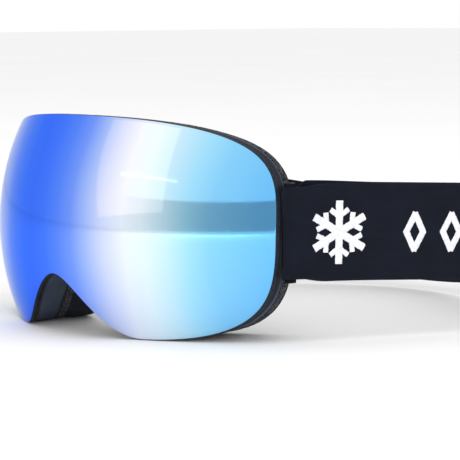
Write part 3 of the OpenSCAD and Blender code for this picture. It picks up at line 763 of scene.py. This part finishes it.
def ventCutter(x, upper):
    # a slot with rounded ends that follows the edge of the lens
    radius = bondRadius / mm
    turn = math.asin(x / radius)
    z = frameSizes["topVentZ" if upper else "lowVentZ"]
    depth = lensCentreY / mm - math.sqrt(radius ** 2 - x * x - z * z)
    front = frameSizes["wallFront"] / math.cos(turn) + frameSizes["ventStart"]
    halfWidth, length = frameSizes["ventWidth"] / 2, frameSizes["ventLength"]
    end = length / 2
    plan = []
    for side in (1, -1):
        for i in range(13):
            a = side * math.pi / 2 - math.pi * i / 12
            plan.append((side * (halfWidth - end) + end * math.cos(a), front + end + end * math.sin(a)))
    low = frameSizes["topCutFrom" if upper else "lowCutFrom"]
    count = len(plan)
    points = [(a * mm, b * mm, h * mm) for h in (low, low + frameSizes["cutHeight"]) for a, b in plan]
    cutter = meshPiece("ventCutter", points, tubeFaces(2, count), None, smooth=False)
    cutter.data.transform(Matrix.Translation((x * mm, depth * mm, 0)) @ Matrix.Rotation(turn, 4, "Z"))
    outward(cutter)
    return cutter


def frameRing(name, rails, material, sharp, cuts, cutters):
    piece = ringPiece(name, rails, material, sharp, cuts)
    cutAway(piece, cutters)
    piece.data.set_sharp_from_angle(angle=math.radians(38))
    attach(piece, "frame")
    return piece


wallIn = frameSizes["wallInner"]
rimRing = frameRing("seatRim", [
    behindLens(0.01, frameSizes["rimFront"]), behindLens(0.0, frameSizes["rimBack"]),
    behindLens(wallIn, frameSizes["rimBack"]), behindLens(wallIn, frameSizes["rimFront"])],
    hardPlastic, 0.6, 3, [notchCutter(1), notchCutter(-1)])
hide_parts("frame_rim")

wallFront = frameSizes["wallFront"]
wallMiddle = between(behindLens(-0.02, wallFront), onSeat(0, 0), 0.5)
wallMiddleIn = between(behindLens(wallIn, wallFront), onSeat(wallIn, -0.1), 0.5)
allVents = [ventCutter(x, True) for x in frameSizes["topVents"]]
allVents += [ventCutter(side * x, False) for x in frameSizes["lowVents"] for side in (1, -1)]
sideWall = frameRing("sideWall", [
    behindLens(0, wallFront), wallMiddle, onSeat(0, -0.1), onSeat(wallIn, -0.1),
    wallMiddleIn, behindLens(wallIn, wallFront)],
    softFrame, [0.75, 0.1, 0.75, 0.75, 0.1, 0.75], 4, [notchCutter(1), notchCutter(-1)] + allVents)


def notchWeb(side):
    # the wall's inner web, which closes the frame behind the strap's fold
    near, far = wallIn - frameSizes["webLap"], frameSizes["linerInner"]
    front, back = wallFront + frameSizes["webFront"], -frameSizes["seatGap"]
    rails = [behindLens(near, front), onSeat(near, back), onSeat(far, back), behindLens(far, front)]
    first, last = frameSizes["webSpan"]
    web = railBar("notchWeb", [r[first:last] for r in rails], softFrame, side, smooth=False)
    bevelEdges(web, 0.2 * mm, 2)
    return web


bpy.context.view_layer.update()
for side in (1, -1):
    web = notchWeb(side)
    web.name = "notchWebLeft" if side > 0 else "notchWebRight"
    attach(web, "frame")
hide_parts("frame_wall")

flange, groove = frameSizes["flange"], frameSizes["groove"]
foamFlange = frameRing("foamFlange", [
    onSeat(groove, 0), onSeat(groove, flange), onSeat(0.4, flange), onSeat(0.92, flange), onSeat(0.92, 0),
    onSeat(0.4, 0)], hardPlastic, 0.72, 3, [notchCutter(1), notchCutter(-1)])
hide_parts("face_flange")
print("frame made")


# ---- foam

foam = {"baseThickness": 4.2, "bulge": 1.02, "fleeceFrom": 0.86, "fleeceGap": 0.02}
baseFront = flange + 0.1
baseBack = baseFront + foam["baseThickness"]
foamStart = baseBack + 0.1
foamOut = [onBack(0.01, foamStart), onFace(0, -1.5)]
foamIn = [onBack(1, foamStart), onFace(1, -1.5)]


def foamSide(pair, k, swell=1.0):
    return between(pair[0], pair[1], k) * [swell, 1, swell]


def foamRing(name, rails, material, sharp, node, height, size, seed, splits=3, cutters=()):
    piece = ringPiece(name, rails, material, sharp, 4, 640, splits)
    roughen(piece, height, size, seed)
    if cutters:
        cutAway(piece, list(cutters))
    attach(piece, "frame")
    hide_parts(node)
    return piece


foamRing("coarseFoamLayer", [
    onSeat(0.01, baseFront), between(onSeat(0, baseFront), onBack(0, baseBack), 0.5), onBack(0, baseBack),
    onBack(0.5, baseBack), onSeat(1, baseBack), onSeat(0.95, baseFront), onSeat(0.45, baseFront)],
    coarseFoam, [0.8, 0.1, 0.8, 0.5, 0.75, 0.75, 0.5], "foam_base",
    0.16 * mm, 0.9 * mm, 1, 4, [notchCutter(1), notchCutter(-1)])
foamRing("faceFoamLayer", [
    foamSide(foamOut, 0), foamSide(foamOut, 0.4, foam["bulge"]),
    foamSide(foamOut, foam["fleeceFrom"] - foam["fleeceGap"]),
    foamSide(foamIn, foam["fleeceFrom"] - foam["fleeceGap"]), foamSide(foamIn, 0.4),
    foamSide(foamIn, 0), onBack(0.5, foamStart)],
    faceFoam, [0.75, 0.05, 0.8, 0.8, 0.05, 0.75, 0.5], "foam_mid",
    0.09 * mm, 1.1 * mm, 2, 5)
foamRing("fleeceLayer", [
    foamSide(foamOut, foam["fleeceFrom"]), onFace(0, -1.5), onFace(0.12, 0), onFace(0.5, 0),
    onFace(0.88, 0), onFace(1, -1.5), foamSide(foamIn, foam["fleeceFrom"])],
    fleece, [0.8, 0.3, 0.1, 0.1, 0.1, 0.3, 0.8], "fleece_liner",
    0.10 * mm, 1.6 * mm, 3, 4)


def ventStrip(name, node, span, side=1):
    # the strip of open foam behind a row of vents, with softened ends
    near, far = wallIn + frameSizes["ventFoamFrom"], wallIn + frameSizes["ventFoamTo"]
    front, back = wallFront + frameSizes["ventFoamFront"], -frameSizes["seatGap"]
    rails = [behindLens(near, front), onSeat(near, back), onSeat(far, back), behindLens(far, front)]
    total = len(rails[0])
    first, last = frameSizes[span]
    picks = [i % total for i in range(first, last + 1)]
    strip = railBar(name, roundSection([r[picks] for r in rails], 0.7, 2), ventFoam, side)
    roughen(strip, 0.06 * mm, 0.9 * mm, 4)
    strip.data.set_sharp_from_angle(angle=math.radians(60))
    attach(strip, "frame")
    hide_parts(node)


ventStrip("topVentFoam", "top_vent_foam", "topFoamSpan")
ventStrip("leftVentFoam", "left_vent_foam", "lowFoamSpan")
ventStrip("rightVentFoam", "right_vent_foam", "lowFoamSpan", -1)
print("foam made")


# ---- strap route: the left half, from the pin to the middle of the back

earTurn = math.radians(strap["earTurn"])
rearAngle = leaveAngle - earTurn
rearTurn = math.pi / 2 + rearAngle
earLength = strap["earRadius"] * earTurn
foldRadius = strap["pinDiameter"] / 2 + strap["wrapGap"] + strap["thickness"] / 2
earAt = strap["sideRun"]
slideAt = earAt + earLength
rearAt = slideAt + strap["slideRun"]


def heading(angle):
    return np.array([math.sin(angle), math.cos(angle)])


def outwardOf(angle):
    return np.array([math.cos(angle), -math.sin(angle)])


pinPoint = np.array([pinX, pinY])
routeStart = pinPoint + foldRadius * leaveOut
earPoint = routeStart + strap["sideRun"] * heading(leaveAngle)
slidePoint = earPoint - strap["earRadius"] * outwardOf(leaveAngle) + strap["earRadius"] * outwardOf(rearAngle)
rearPoint = slidePoint + strap["slideRun"] * heading(rearAngle)
rearRadius = rearPoint[0] / outwardOf(rearAngle)[0]
rearLength = rearRadius * rearTurn
routeEnd = rearAt + rearLength


def ramp(s, low, high):
    return max(0.0, min(1.0, (s - low) / (high - low)))


def smoothStep(k):
    return k * k * (3 - 2 * k)


def station(s):
    # the strap's middle, and its outward, upward and backward directions
    if s < earAt:
        angle, plan = leaveAngle, routeStart + s * heading(leaveAngle)
    elif s < slideAt:
        angle = leaveAngle - (s - earAt) / strap["earRadius"]
        plan = earPoint + strap["earRadius"] * (outwardOf(angle) - outwardOf(leaveAngle))
    elif s < rearAt:
        angle, plan = rearAngle, slidePoint + (s - slideAt) * heading(rearAngle)
    else:
        angle = rearAngle - (s - rearAt) / rearRadius
        plan = rearPoint + rearRadius * (outwardOf(angle) - outwardOf(rearAngle))
    side, slide, level = strap["sideFall"], strap["slideFall"], strap["levelRun"]
    rear = ramp(s, rearAt, routeEnd)
    fall = side * ramp(s, 0, level) + (slide - side) * ramp(s, earAt, slideAt) - slide * rear
    drop = side * (s * s / (2 * level) if s < level else s - level / 2)
    drop += (slide - side) * (ramp(s, earAt, slideAt) ** 2 * earLength / 2 + max(0, s - slideAt))
    drop -= slide * rear ** 2 * rearLength / 2
    way = heading(angle)
    out = outwardOf(angle)
    back = Vector((way[0], way[1], -fall)).normalized()
    outVector = Vector((out[0], out[1], 0))
    return Vector((plan[0], plan[1], strap["height"] - drop)), outVector, outVector.cross(back), back


def onStrap(s, out, up):
    middle, outVector, upVector, _ = station(s)
    return middle + outVector * out + upVector * up


def widthAt(s):
    gain = strap["width"] - strap["foldWidth"]
    return strap["foldWidth"] + gain * math.sin(math.pi / 2 * ramp(s, strap["widenFrom"], strap["widenTo"]))


def stripSection(width, thickness, cutsAcross):
    # half-round edges and flat faces, walked once round: (out, up)
    half = thickness / 2
    corner = thickness * strap["edgeRound"]
    walk = []
    flat = width / 2 - corner
    for i in range(cutsAcross + 1):
        walk.append((half, flat - 2 * flat * i / cutsAcross))
    for i in range(1, 6):
        a = math.pi * i / 6
        walk.append((half * math.cos(a), -flat - corner * math.sin(a)))
    for i in range(cutsAcross + 1):
        walk.append((-half, -flat + 2 * flat * i / cutsAcross))
    for i in range(1, 6):
        a = math.pi * i / 6
        walk.append((-half * math.cos(a), flat + corner * math.sin(a)))
    return walk


def sweptStrip(name, frames, material, uvStart=0.0, wave=0.0):
    # frames: (middle, out, up, width, thickness, distance) at each stop along the strip
    points, uv, n = [], [], 0
    for middle, outVector, upVector, width, thickness, distance in frames:
        walk = stripSection(width, thickness, 20)
        n = len(walk)
        for out, up in walk:
            ripple = wave * math.sin(distance / (0.5 * mm)) if abs(up) > width / 2 - 0.7 * mm else 0
            points.append(middle + outVector * out + upVector * (up + math.copysign(ripple, up)))
            uv.append((uvStart + distance, up + (0 if out > 0 else 60 * mm)))
    piece = meshPiece(name, points, tubeFaces(len(frames), n), material, uv)
    outward(piece)
    piece.data.set_sharp_from_angle(angle=math.radians(55))
    return piece


def flipX(v):
    return Vector((-v[0], v[1], v[2]))


bandHalf = []
for i in range(strap["foldSteps"]):
    a = math.pi * (1 - i / strap["foldSteps"])
    plan = math.cos(a) * leaveOut - math.sin(a) * leaveDir
    place = Vector((pinX + foldRadius * plan[0], pinY + foldRadius * plan[1], strap["height"]))
    bandHalf.append((place, Vector((plan[0], plan[1], 0)), Vector((0, 0, 1)),
                     strap["foldWidth"], strap["thickness"], -foldRadius * a))
for s in np.linspace(0, routeEnd, 340):
    middle, outVector, upVector, _ = station(s)
    bandHalf.append((middle, outVector, upVector, widthAt(s), strap["thickness"], s))
otherHalf = [(flipX(p), flipX(o), flipX(u), w, t, 2 * routeEnd - d)
             for p, o, u, w, t, d in bandHalf[-2::-1]]
strapBand = sweptStrip("strapBand", bandHalf + otherHalf, webbing, wave=0.05 * mm)
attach(strapBand, "frame")
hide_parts("strap_band")


# ---- inner layer, folded round the slider's bar and sewn to itself

slider = {"length": 24 * mm, "rail": 2.5 * mm, "bar": 2.6 * mm, "sideGap": 0.6 * mm, "faceGap": 0.4 * mm,
          "startGap": 4 * mm, "sink": 0.5 * mm, "endLength": 3.5 * mm, "endThickness": 2 * mm,
          "bevel": 0.55 * mm}
# the loop, measured forward from the bar
loop = {"layerEnd": 8 * mm, "turnFrom": 6 * mm, "turnTo": 9 * mm, "seamFrom": 9.4 * mm, "seamTo": 12.9 * mm,
        "seamGap": 0.1 * mm, "rows": (10 * mm, 12.2 * mm), "rowLow": -18 * mm, "rowHigh": 19 * mm,
        "threadRadius": 0.16 * mm, "stitch": 2.2 * mm, "stitchGap": 0.9 * mm,
        "blendFrom": -14 * mm, "blendTo": 2.5 * mm}      # from the start of the slider's straight
sliderAt = slideAt + slider["length"] / 2 + slider["startGap"]
barRadius = slider["bar"] / 2
loopRadius = barRadius + strap["wrapGap"] + strap["thickness"] / 2
layerThickness = strap["thickness"] - 0.04 * mm     # a little under its CAD solid's
layerOut = -(strap["thickness"] + strap["layerGap"])
barOut = layerOut - loopRadius


def layerAt(s):
    return -2 * foldRadius + (layerOut + 2 * foldRadius) * smoothStep(ramp(s, 0, strap["converge"]))


def innerLayer():
    # clear of the lugs, the layer takes its full width and rises above the outer one
    frames = []
    for s in np.linspace(strap["wrapGap"], sliderAt - loop["layerEnd"], 260):
        middle, outVector, upVector, _ = station(s)
        rise = smoothStep(ramp(s, strap["lugClear"], strap["fullWidth"]))
        width = strap["foldWidth"] + (strap["width"] - strap["foldWidth"]) * rise
        fade = smoothStep(ramp(s, strap["fullWidth"], strap["levelRun"]))
        lift = rise * (strap["foldLift"] + (strap["layerLift"] - strap["foldLift"]) * fade)
        frames.append((middle + outVector * layerAt(s) + upVector * lift, outVector, upVector,
                       width, layerThickness, s))
    middle, outVector, upVector, back = station(sliderAt)
    inner = barOut - loopRadius
    sewn = layerOut - strap["thickness"] - loop["seamGap"]
    # the turn round the bar in the slider's own directions: (forward, out)
    turn = [(loop["turnFrom"], layerOut), (loop["turnFrom"] / 2, layerOut)]
    for i in range(17):
        a = math.pi / 2 - math.pi * i / 16
        turn.append((-loopRadius * math.cos(a), barOut + loopRadius * math.sin(a)))
    for t in np.linspace(0, 1, 9)[1:]:
        turn.append((loop["turnTo"] * t, inner + (sewn - inner) * smoothStep(t)))
    for forward in np.linspace(loop["seamFrom"], loop["seamTo"], 8):
        turn.append((forward, sewn))
    line = np.array(turn)
    distance = sliderAt - loop["turnFrom"]
    for i, (forward, out) in enumerate(line):
        if i:
            distance += float(np.linalg.norm(line[i] - line[i - 1]))
        way = line[min(i + 1, len(line) - 1)] - line[max(i - 1, 0)]
        way = way / np.linalg.norm(way)
        normal = outVector * -way[0] - back * way[1]
        place = middle - back * forward + outVector * out + upVector * strap["layerLift"]
        frames.append((place, normal, upVector, strap["width"], layerThickness, distance))
    return sweptStrip("leftInnerStrap", frames, webbing, 0.3, 0.05 * mm), distance


def stitchRow(s, out):
    # a line of thread dashes across the strap
    row = []
    up = loop["rowLow"] + strap["layerLift"]
    while up + loop["stitch"] < loop["rowHigh"]:
        row.append(threadTube([onStrap(s, out, up + loop["stitch"] * i / 6) for i in range(7)]))
        up += loop["stitch"] + loop["stitchGap"]
    return row


def threadTube(path):
    # one stitch on the strap's inner face, with its ends tucked in
    radius = loop["threadRadius"]
    points = []
    n, m = 6, len(path)
    _, outVector, _, _ = station(sliderAt)
    for j, place in enumerate(path):
        tuck = math.sin(math.pi * j / (m - 1)) ** 0.5
        way = (path[min(j + 1, m - 1)] - path[max(j - 1, 0)]).normalized()
        across = way.cross(outVector).normalized()
        centre = place - outVector * radius * (tuck - 0.75)
        for i in range(n):
            a = 2 * math.pi * i / n
            points.append(centre + (outVector * math.cos(a) + across * math.sin(a)) * radius)
    uv = [(p[2], p[0]) for p in points]
    tube = meshPiece("stitch", points, tubeFaces(m, n), darkThread, uv)
    outward(tube)
    return tube


darkThread = plasticFinish("strapThread", (0.010, 0.012, 0.022), (0.024, 0.027, 0.042), 0.6,
                           0.2 * mm, 0.05 * mm)
leftInner, innerLength = innerLayer()
rightInner = mirrored(leftInner, "rightInnerStrap")
tailOut = layerOut - 1.5 * strap["thickness"] - loop["seamGap"]
seam = []
for forward in loop["rows"]:
    seam += stitchRow(sliderAt - forward, tailOut)
leftSeam = joinPieces(seam, "leftLoopStitching")
rightSeam = mirrored(leftSeam, "rightLoopStitching")
blendStart, blendEnd = slideAt + loop["blendFrom"], slideAt + loop["blendTo"]
for piece, seamPiece, body, side, nodes in (
        (leftInner, leftSeam, "slider_left", 1, ("left_strap_return", "left_end_loop")),
        (rightInner, rightSeam, "slider_right", -1, ("right_strap_return", "right_end_loop"))):
    start, end = station(blendStart)[0], station(blendEnd)[0]
    if side < 0:
        start, end = flipX(start), flipX(end)
    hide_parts(*nodes)
    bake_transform(piece)
    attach(seamPiece, body)
print("inner strap made")


# ---- sliders: side rails, two end bars outside the strap and the middle bar that carries the loop

def sliderPiece():
    middle, outVector, upVector, back = station(sliderAt)
    railIn = strap["width"] / 2 + strap["layerLift"] + slider["sideGap"]
    barEnd = railIn + slider["sink"]
    endOut = strap["thickness"] / 2 + slider["faceGap"]
    railOut = endOut + slider["endThickness"]
    railDeep = barOut - barRadius - slider["faceGap"]
    half = slider["length"] / 2
    blocks = []
    for side in (1, -1):
        low = railIn if side > 0 else -railIn - slider["rail"]
        blocks.append(blockPoints((-half, railDeep, low), (half, railOut, low + slider["rail"])))
    for end in (1, -1):
        low = half - slider["endLength"] if end > 0 else -half
        blocks.append(blockPoints((low, endOut, -barEnd), (low + slider["endLength"], railOut, barEnd)))
    parts = [meshPiece("sliderPart", p, f, darkPlastic, smooth=False) for p, f in blocks]
    barPoints = []
    count = 28
    for z in (-barEnd, barEnd):
        for i in range(count):
            a = 2 * math.pi * i / count
            barPoints.append((barRadius * math.cos(a), barOut + barRadius * math.sin(a), z))
    parts.append(meshPiece("sliderPart", barPoints, tubeFaces(2, count), darkPlastic, smooth=False))
    body = parts[0]
    for part in parts:
        outward(part)
    for part in parts[1:]:
        step = body.modifiers.new("join", "BOOLEAN")
        step.operation = "UNION"
        step.solver = "EXACT"
        step.object = part
    applyModifiers(body)
    for part in parts[1:]:
        bpy.data.objects.remove(part)
    bevelEdges(body, slider["bevel"], 3, 50)
    body.data.polygons.foreach_set("use_smooth", [True] * len(body.data.polygons))
    body.data.set_sharp_from_angle(angle=math.radians(35))
    forward = -back
    body.data.transform(Matrix((
        (forward[0], outVector[0], upVector[0], middle[0]),
        (forward[1], outVector[1], upVector[1], middle[1]),
        (forward[2], outVector[2], upVector[2], middle[2]),
        (0, 0, 0, 1))))
    outward(body)
    body.name = "leftSliderFrame"
    return body


leftSliderPiece = sliderPiece()
rightSliderPiece = mirrored(leftSliderPiece, "rightSliderFrame")
for piece, body, node in ((leftSliderPiece, "slider_left", "left_slider"),
                          (rightSliderPiece, "slider_right", "right_slider")):
    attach(piece, body)
    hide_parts(node)
print("sliders made")


# ---- silicone grip lines inside the back of the strap

grip = {"width": 2 * mm, "height": 0.8 * mm, "pitch": 11 * mm}


def gripLine(row):
    frames = []
    for s in np.linspace(rearAt, routeEnd, 60):
        middle, outVector, upVector, _ = station(s)
        frames.append((middle, outVector, upVector, s))
    frames += [(flipX(p), flipX(o), flipX(u), 2 * routeEnd - d) for p, o, u, d in frames[-2::-1]]
    points, n = [], 9
    last = len(frames) - 1
    for j, (middle, outVector, upVector, d) in enumerate(frames):
        ease = min(1.0, (min(j, last - j) + 0.6) / 3)
        bead = 1 + 0.08 * math.sin(d / (1.6 * mm))
        base = middle - outVector * (strap["thickness"] / 2 + 0.02 * mm)
        for i in range(n):
            a = math.pi * i / (n - 1)
            points.append(base + upVector * (row * grip["pitch"] + grip["width"] / 2 * math.cos(a) * ease)
                          - outVector * grip["height"] * math.sin(a) * ease * bead)
    line = meshPiece("gripLine", points, tubeFaces(len(frames), n), silicone)
    outward(line)
    return line


gripLines = joinPieces([gripLine(row) for row in (-1, 0, 1)], "gripLines")
gripLines.data.set_sharp_from_angle(angle=math.radians(60))
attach(gripLines, "frame")
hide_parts("grip_lines")
print("grip lines made")


# ---- raised stitching on the strap: a snow crystal, then diamonds

stitching = {
    "crystalAt": 21 * mm, "armLength": 13 * mm, "armWidth": 3.4 * mm,
    "branchAt": 0.5, "branchLength": 0.38, "branchWidth": 0.7, "branchAngle": 55,
    "diamondsAt": (55.5 * mm, 72.5 * mm), "diamondWidth": 11 * mm, "diamondHeight": 21 * mm,
    "diamondLine": 2.9 * mm, "cornerOverlap": 0.6 * mm,
    "threadPitch": 0.42 * mm, "height": 0.55 * mm,
}


def satinBar(centreS, start, end, width, rng):
    # threads lie side by side across the bar; each one arches and ends a little unevenly
    (a0, b0), (a1, b1) = start, end
    along = Vector((a1 - a0, b1 - b0))
    length = along.length
    along.normalize()
    across = Vector((-along.y, along.x))
    count = max(3, int(length / stitching["threadPitch"]))
    columns = 9
    points, faces, uv = [], [], []
    for j in range(count):
        left = rng.uniform(-0.10, 0.10) * mm
        right = rng.uniform(-0.10, 0.10) * mm
        level = rng.uniform(0.9, 1.06)
        for part, rise in ((0.06, 0.55), (0.5, 1.0), (0.94, 0.55)):
            at = (j + part) * length / count
            for i in range(columns):
                k = i / (columns - 1)
                side = (k - 0.5) * width + (left if k < 0.5 else right) * abs(2 * k - 1)
                crown = max(0.0, 1 - abs(2 * k - 1) ** 2.6)
                height = stitching["height"] * (0.12 + 0.88 * crown) * (0.72 + 0.28 * rise) * level
                if i in (0, columns - 1):
                    height = -0.08 * mm
                flat = Vector((a0, b0)) + along * at + across * side
                points.append(onStrap(centreS - flat.x, strap["thickness"] / 2 + height, flat.y))
                uv.append((at, side))
    rows = count * 3
    for r in range(rows - 1):
        for i in range(columns - 1):
            q = r * columns + i
            faces.append((q, q + 1, q + columns + 1, q + columns))
    # close the bar's two ends and its underside
    faces.append(tuple(range(columns))[::-1])
    faces.append(tuple((rows - 1) * columns + i for i in range(columns)))
    for r in range(rows - 1):
        here, after = r * columns, (r + 1) * columns
        faces.append((here, after, after + columns - 1, here + columns - 1))
    bar = meshPiece("satinBar", points, faces, thread, uv)
    outward(bar)
    return bar


def crystalBars(rng):
    bars = []
    reach, width = stitching["armLength"], stitching["armWidth"]
    for i in range(6):
        a = math.radians(60 * i)
        up = Vector((-math.sin(a), math.cos(a)))
        bars.append(satinBar(stitching["crystalAt"], up * width * -0.2, up * reach, width, rng))
        root = up * reach * stitching["branchAt"]
        for side in (1, -1):
            b = a + side * math.radians(stitching["branchAngle"])
            way = Vector((-math.sin(b), math.cos(b)))
            bars.append(satinBar(stitching["crystalAt"], root + way * 0.6 * mm,
                                 root + way * reach * stitching["branchLength"],
                                 width * stitching["branchWidth"], rng))
    return bars


def diamondBars(at, rng):
    inset = stitching["diamondLine"] / 2
    half, high = stitching["diamondWidth"] / 2, stitching["diamondHeight"] / 2
    share = 1 - inset * math.hypot(half, high) / (half * high)
    half *= share
    high *= share
    corners = [Vector((0, high)), Vector((half, 0)), Vector((0, -high)), Vector((-half, 0))]
    bars = []
    for i in range(4):
        start, end = corners[i], corners[(i + 1) % 4]
        overlap = (end - start).normalized() * stitching["cornerOverlap"]
        bars.append(satinBar(at, start - overlap, end + overlap, stitching["diamondLine"], rng))
    return bars


threadRandom = random.Random(7)
bars = crystalBars(threadRandom)
for at in stitching["diamondsAt"]:
    bars += diamondBars(at, threadRandom)
leftMotif = joinPieces(bars, "leftStitchedMotif")
leftMotif.data.set_sharp_from_angle(angle=math.radians(70))
rightMotif = mirrored(leftMotif, "rightStitchedMotif")
for piece, node in ((leftMotif, "left_embroidery"), (rightMotif, "right_embroidery")):
    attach(piece, "frame")
    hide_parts(node)
print("stitching made")


# ---- CAD nodes that stay, with their finishes

carriedOver = {
    "lens_magnets": nickel, "frame_magnets": nickel, "magnet_seats": darkPlastic,
    "left_anchor_pin": blackSteel, "right_anchor_pin": blackSteel,
    "left_strap_anchor": darkPlastic, "right_strap_anchor": darkPlastic,
}
for nodeName, material in carriedOver.items():
    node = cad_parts[nodeName]
    if not node.material_slots:
        node.data.materials.append(material)
    for place in node.material_slots:
        place.material = material
print("CAD nodes finished")


# ---- camera, floor and lights

view = {
    "place": (0.757743, -0.635544, 0.09342),
    "right": (0.67785, 0.73517, -0.00666),
    "up": (-0.06482, 0.06879, 0.99552),
    "look": (-0.73234, 0.67438, -0.09429),
    "lens": 180.8,
}
cameraData = bpy.data.cameras.new("camera")
cameraData.lens = view["lens"]
cameraData.sensor_width = 36
cameraData.clip_start = 0.01
cameraData.clip_end = 50
camera = bpy.data.objects.new("camera", cameraData)
scene.collection.objects.link(camera)
right, up, look = (Vector(view[k]).normalized() for k in ("right", "up", "look"))
up = (up - look * up.dot(look)).normalized()
right = look.cross(up)
turned = Matrix((right, up, -look)).transposed()
camera.matrix_world = Matrix.Translation(view["place"]) @ turned.to_4x4()
scene.camera = camera


studio = {
    "floorHalf": 12.0,
    "fill": 0.94,                   # how strongly the white air lights the object
    "horizonDim": 0.50,             # the far wall's brightness, seen in glossy surfaces
    "wallTop": (0.232, 0.246),      # the heights between which the far wall ends
    "wallWay": (0.90, -0.43),       # the side it stands on, along X and Y
    "wallFade": (0.15, 1.05),       # how it comes in towards that side
}
paleFloor = cloudyFinish("paleFloor", 3, grey(0.945), grey(0.965), Roughness=0.9, Specular_IOR_Level=0.1)
floorZ = cadBox[0][2] - 0.15 * mm
reach = studio["floorHalf"]
floorCorners = [(x * reach, y * reach, floorZ) for x, y in ((-1, -1), (1, -1), (1, 1), (-1, 1))]
floor = meshPiece("floor", floorCorners, [(0, 1, 2, 3)], paleFloor, smooth=False)

# place, width, height, power, tint, seen in gloss, roll
# the first three light the object, and the last two are what the lens reflects
softLights = {
    "topBox": ((0.2, 0.3, 2.2), 1.8, 1.8, 9, (1.0, 1.0, 1.0), False, 0),
    "frontBox": ((1.1, -1.2, 0.35), 1.2, 0.6, 7, (1.0, 0.99, 1.0), False, 0),
    "sideBox": ((1.9, -0.2, 0.8), 1.0, 1.0, 3, (0.97, 0.99, 1.0), False, 0),
    "windowBox": ((-0.13, -1.40, 0.74), 1.05, 1.25, 0.85, (1.0, 0.62, 0.5), True, 9),
    "stripBox": ((0.13, -1.40, 0.62), 0.80, 0.022, 0.03, (1.0, 1.0, 1.0), True, 0),
}
for name, (place, width, height, power, tint, reflected, roll) in softLights.items():
    data = bpy.data.lights.new(name, "AREA")
    data.shape = "RECTANGLE"
    data.size = width
    data.size_y = height
    data.energy = power
    data.color = tint
    lamp = bpy.data.objects.new(name, data)
    lamp.location = place
    lamp.rotation_mode = "QUATERNION"
    aim = (Vector((0.03, 0, 0)) - Vector(place)).to_track_quat("-Z", "Y")
    lamp.rotation_quaternion = aim @ Quaternion((0, 0, 1), math.radians(roll))
    lamp.visible_glossy = reflected
    scene.collection.objects.link(lamp)


def studioAir():
    # white air that lights softly; glossy surfaces also see a dimmer far wall low on one side
    world = bpy.data.worlds.new("studioAir")
    scene.world = world
    world.use_nodes = True
    tree = world.node_tree
    air = tree.nodes["Background"]
    air.inputs["Color"].default_value = (1, 1, 1, 1)
    way = tree.nodes.new("ShaderNodeTexCoord")
    apart = tree.nodes.new("ShaderNodeSeparateXYZ")
    tree.links.new(way.outputs["Generated"], apart.inputs[0])

    def step(kind, first, second, third=None):
        node = tree.nodes.new("ShaderNodeMath")
        node.operation = kind
        for slotIndex, value in enumerate((first, second, third)):
            if value is None:
                continue
            if isinstance(value, (int, float)):
                node.inputs[slotIndex].default_value = value
            else:
                tree.links.new(value, node.inputs[slotIndex])
        return node.outputs[0]

    def soften(value, low, high):
        node = tree.nodes.new("ShaderNodeMapRange")
        node.interpolation_type = "SMOOTHSTEP"
        node.inputs["From Min"].default_value = low
        node.inputs["From Max"].default_value = high
        tree.links.new(value, node.inputs["Value"])
        return node.outputs["Result"]

    height = apart.outputs["Z"]
    wall = step("SUBTRACT", 1.0, soften(height, *studio["wallTop"]))
    wallX, wallY = studio["wallWay"]
    facing = step("MULTIPLY_ADD", apart.outputs["X"], wallX, step("MULTIPLY", apart.outputs["Y"], wallY))
    wall = step("MULTIPLY", wall, soften(facing, *studio["wallFade"]))
    glossySeen = step("MULTIPLY_ADD", wall, studio["horizonDim"] - 1, 1.0)
    rays = tree.nodes.new("ShaderNodeLightPath")
    seen = step("MULTIPLY", glossySeen, rays.outputs["Is Glossy Ray"])
    diffuse = step("MULTIPLY", rays.outputs["Is Diffuse Ray"], studio["fill"])
    either = step("MAXIMUM", rays.outputs["Is Glossy Ray"], rays.outputs["Is Diffuse Ray"])
    plain = step("SUBTRACT", 1.0, either)
    strength = step("ADD", step("ADD", seen, diffuse), plain)
    tree.links.new(strength, air.inputs["Strength"])


studioAir()
print("camera, floor and lights made")

bpy.context.view_layer.update()
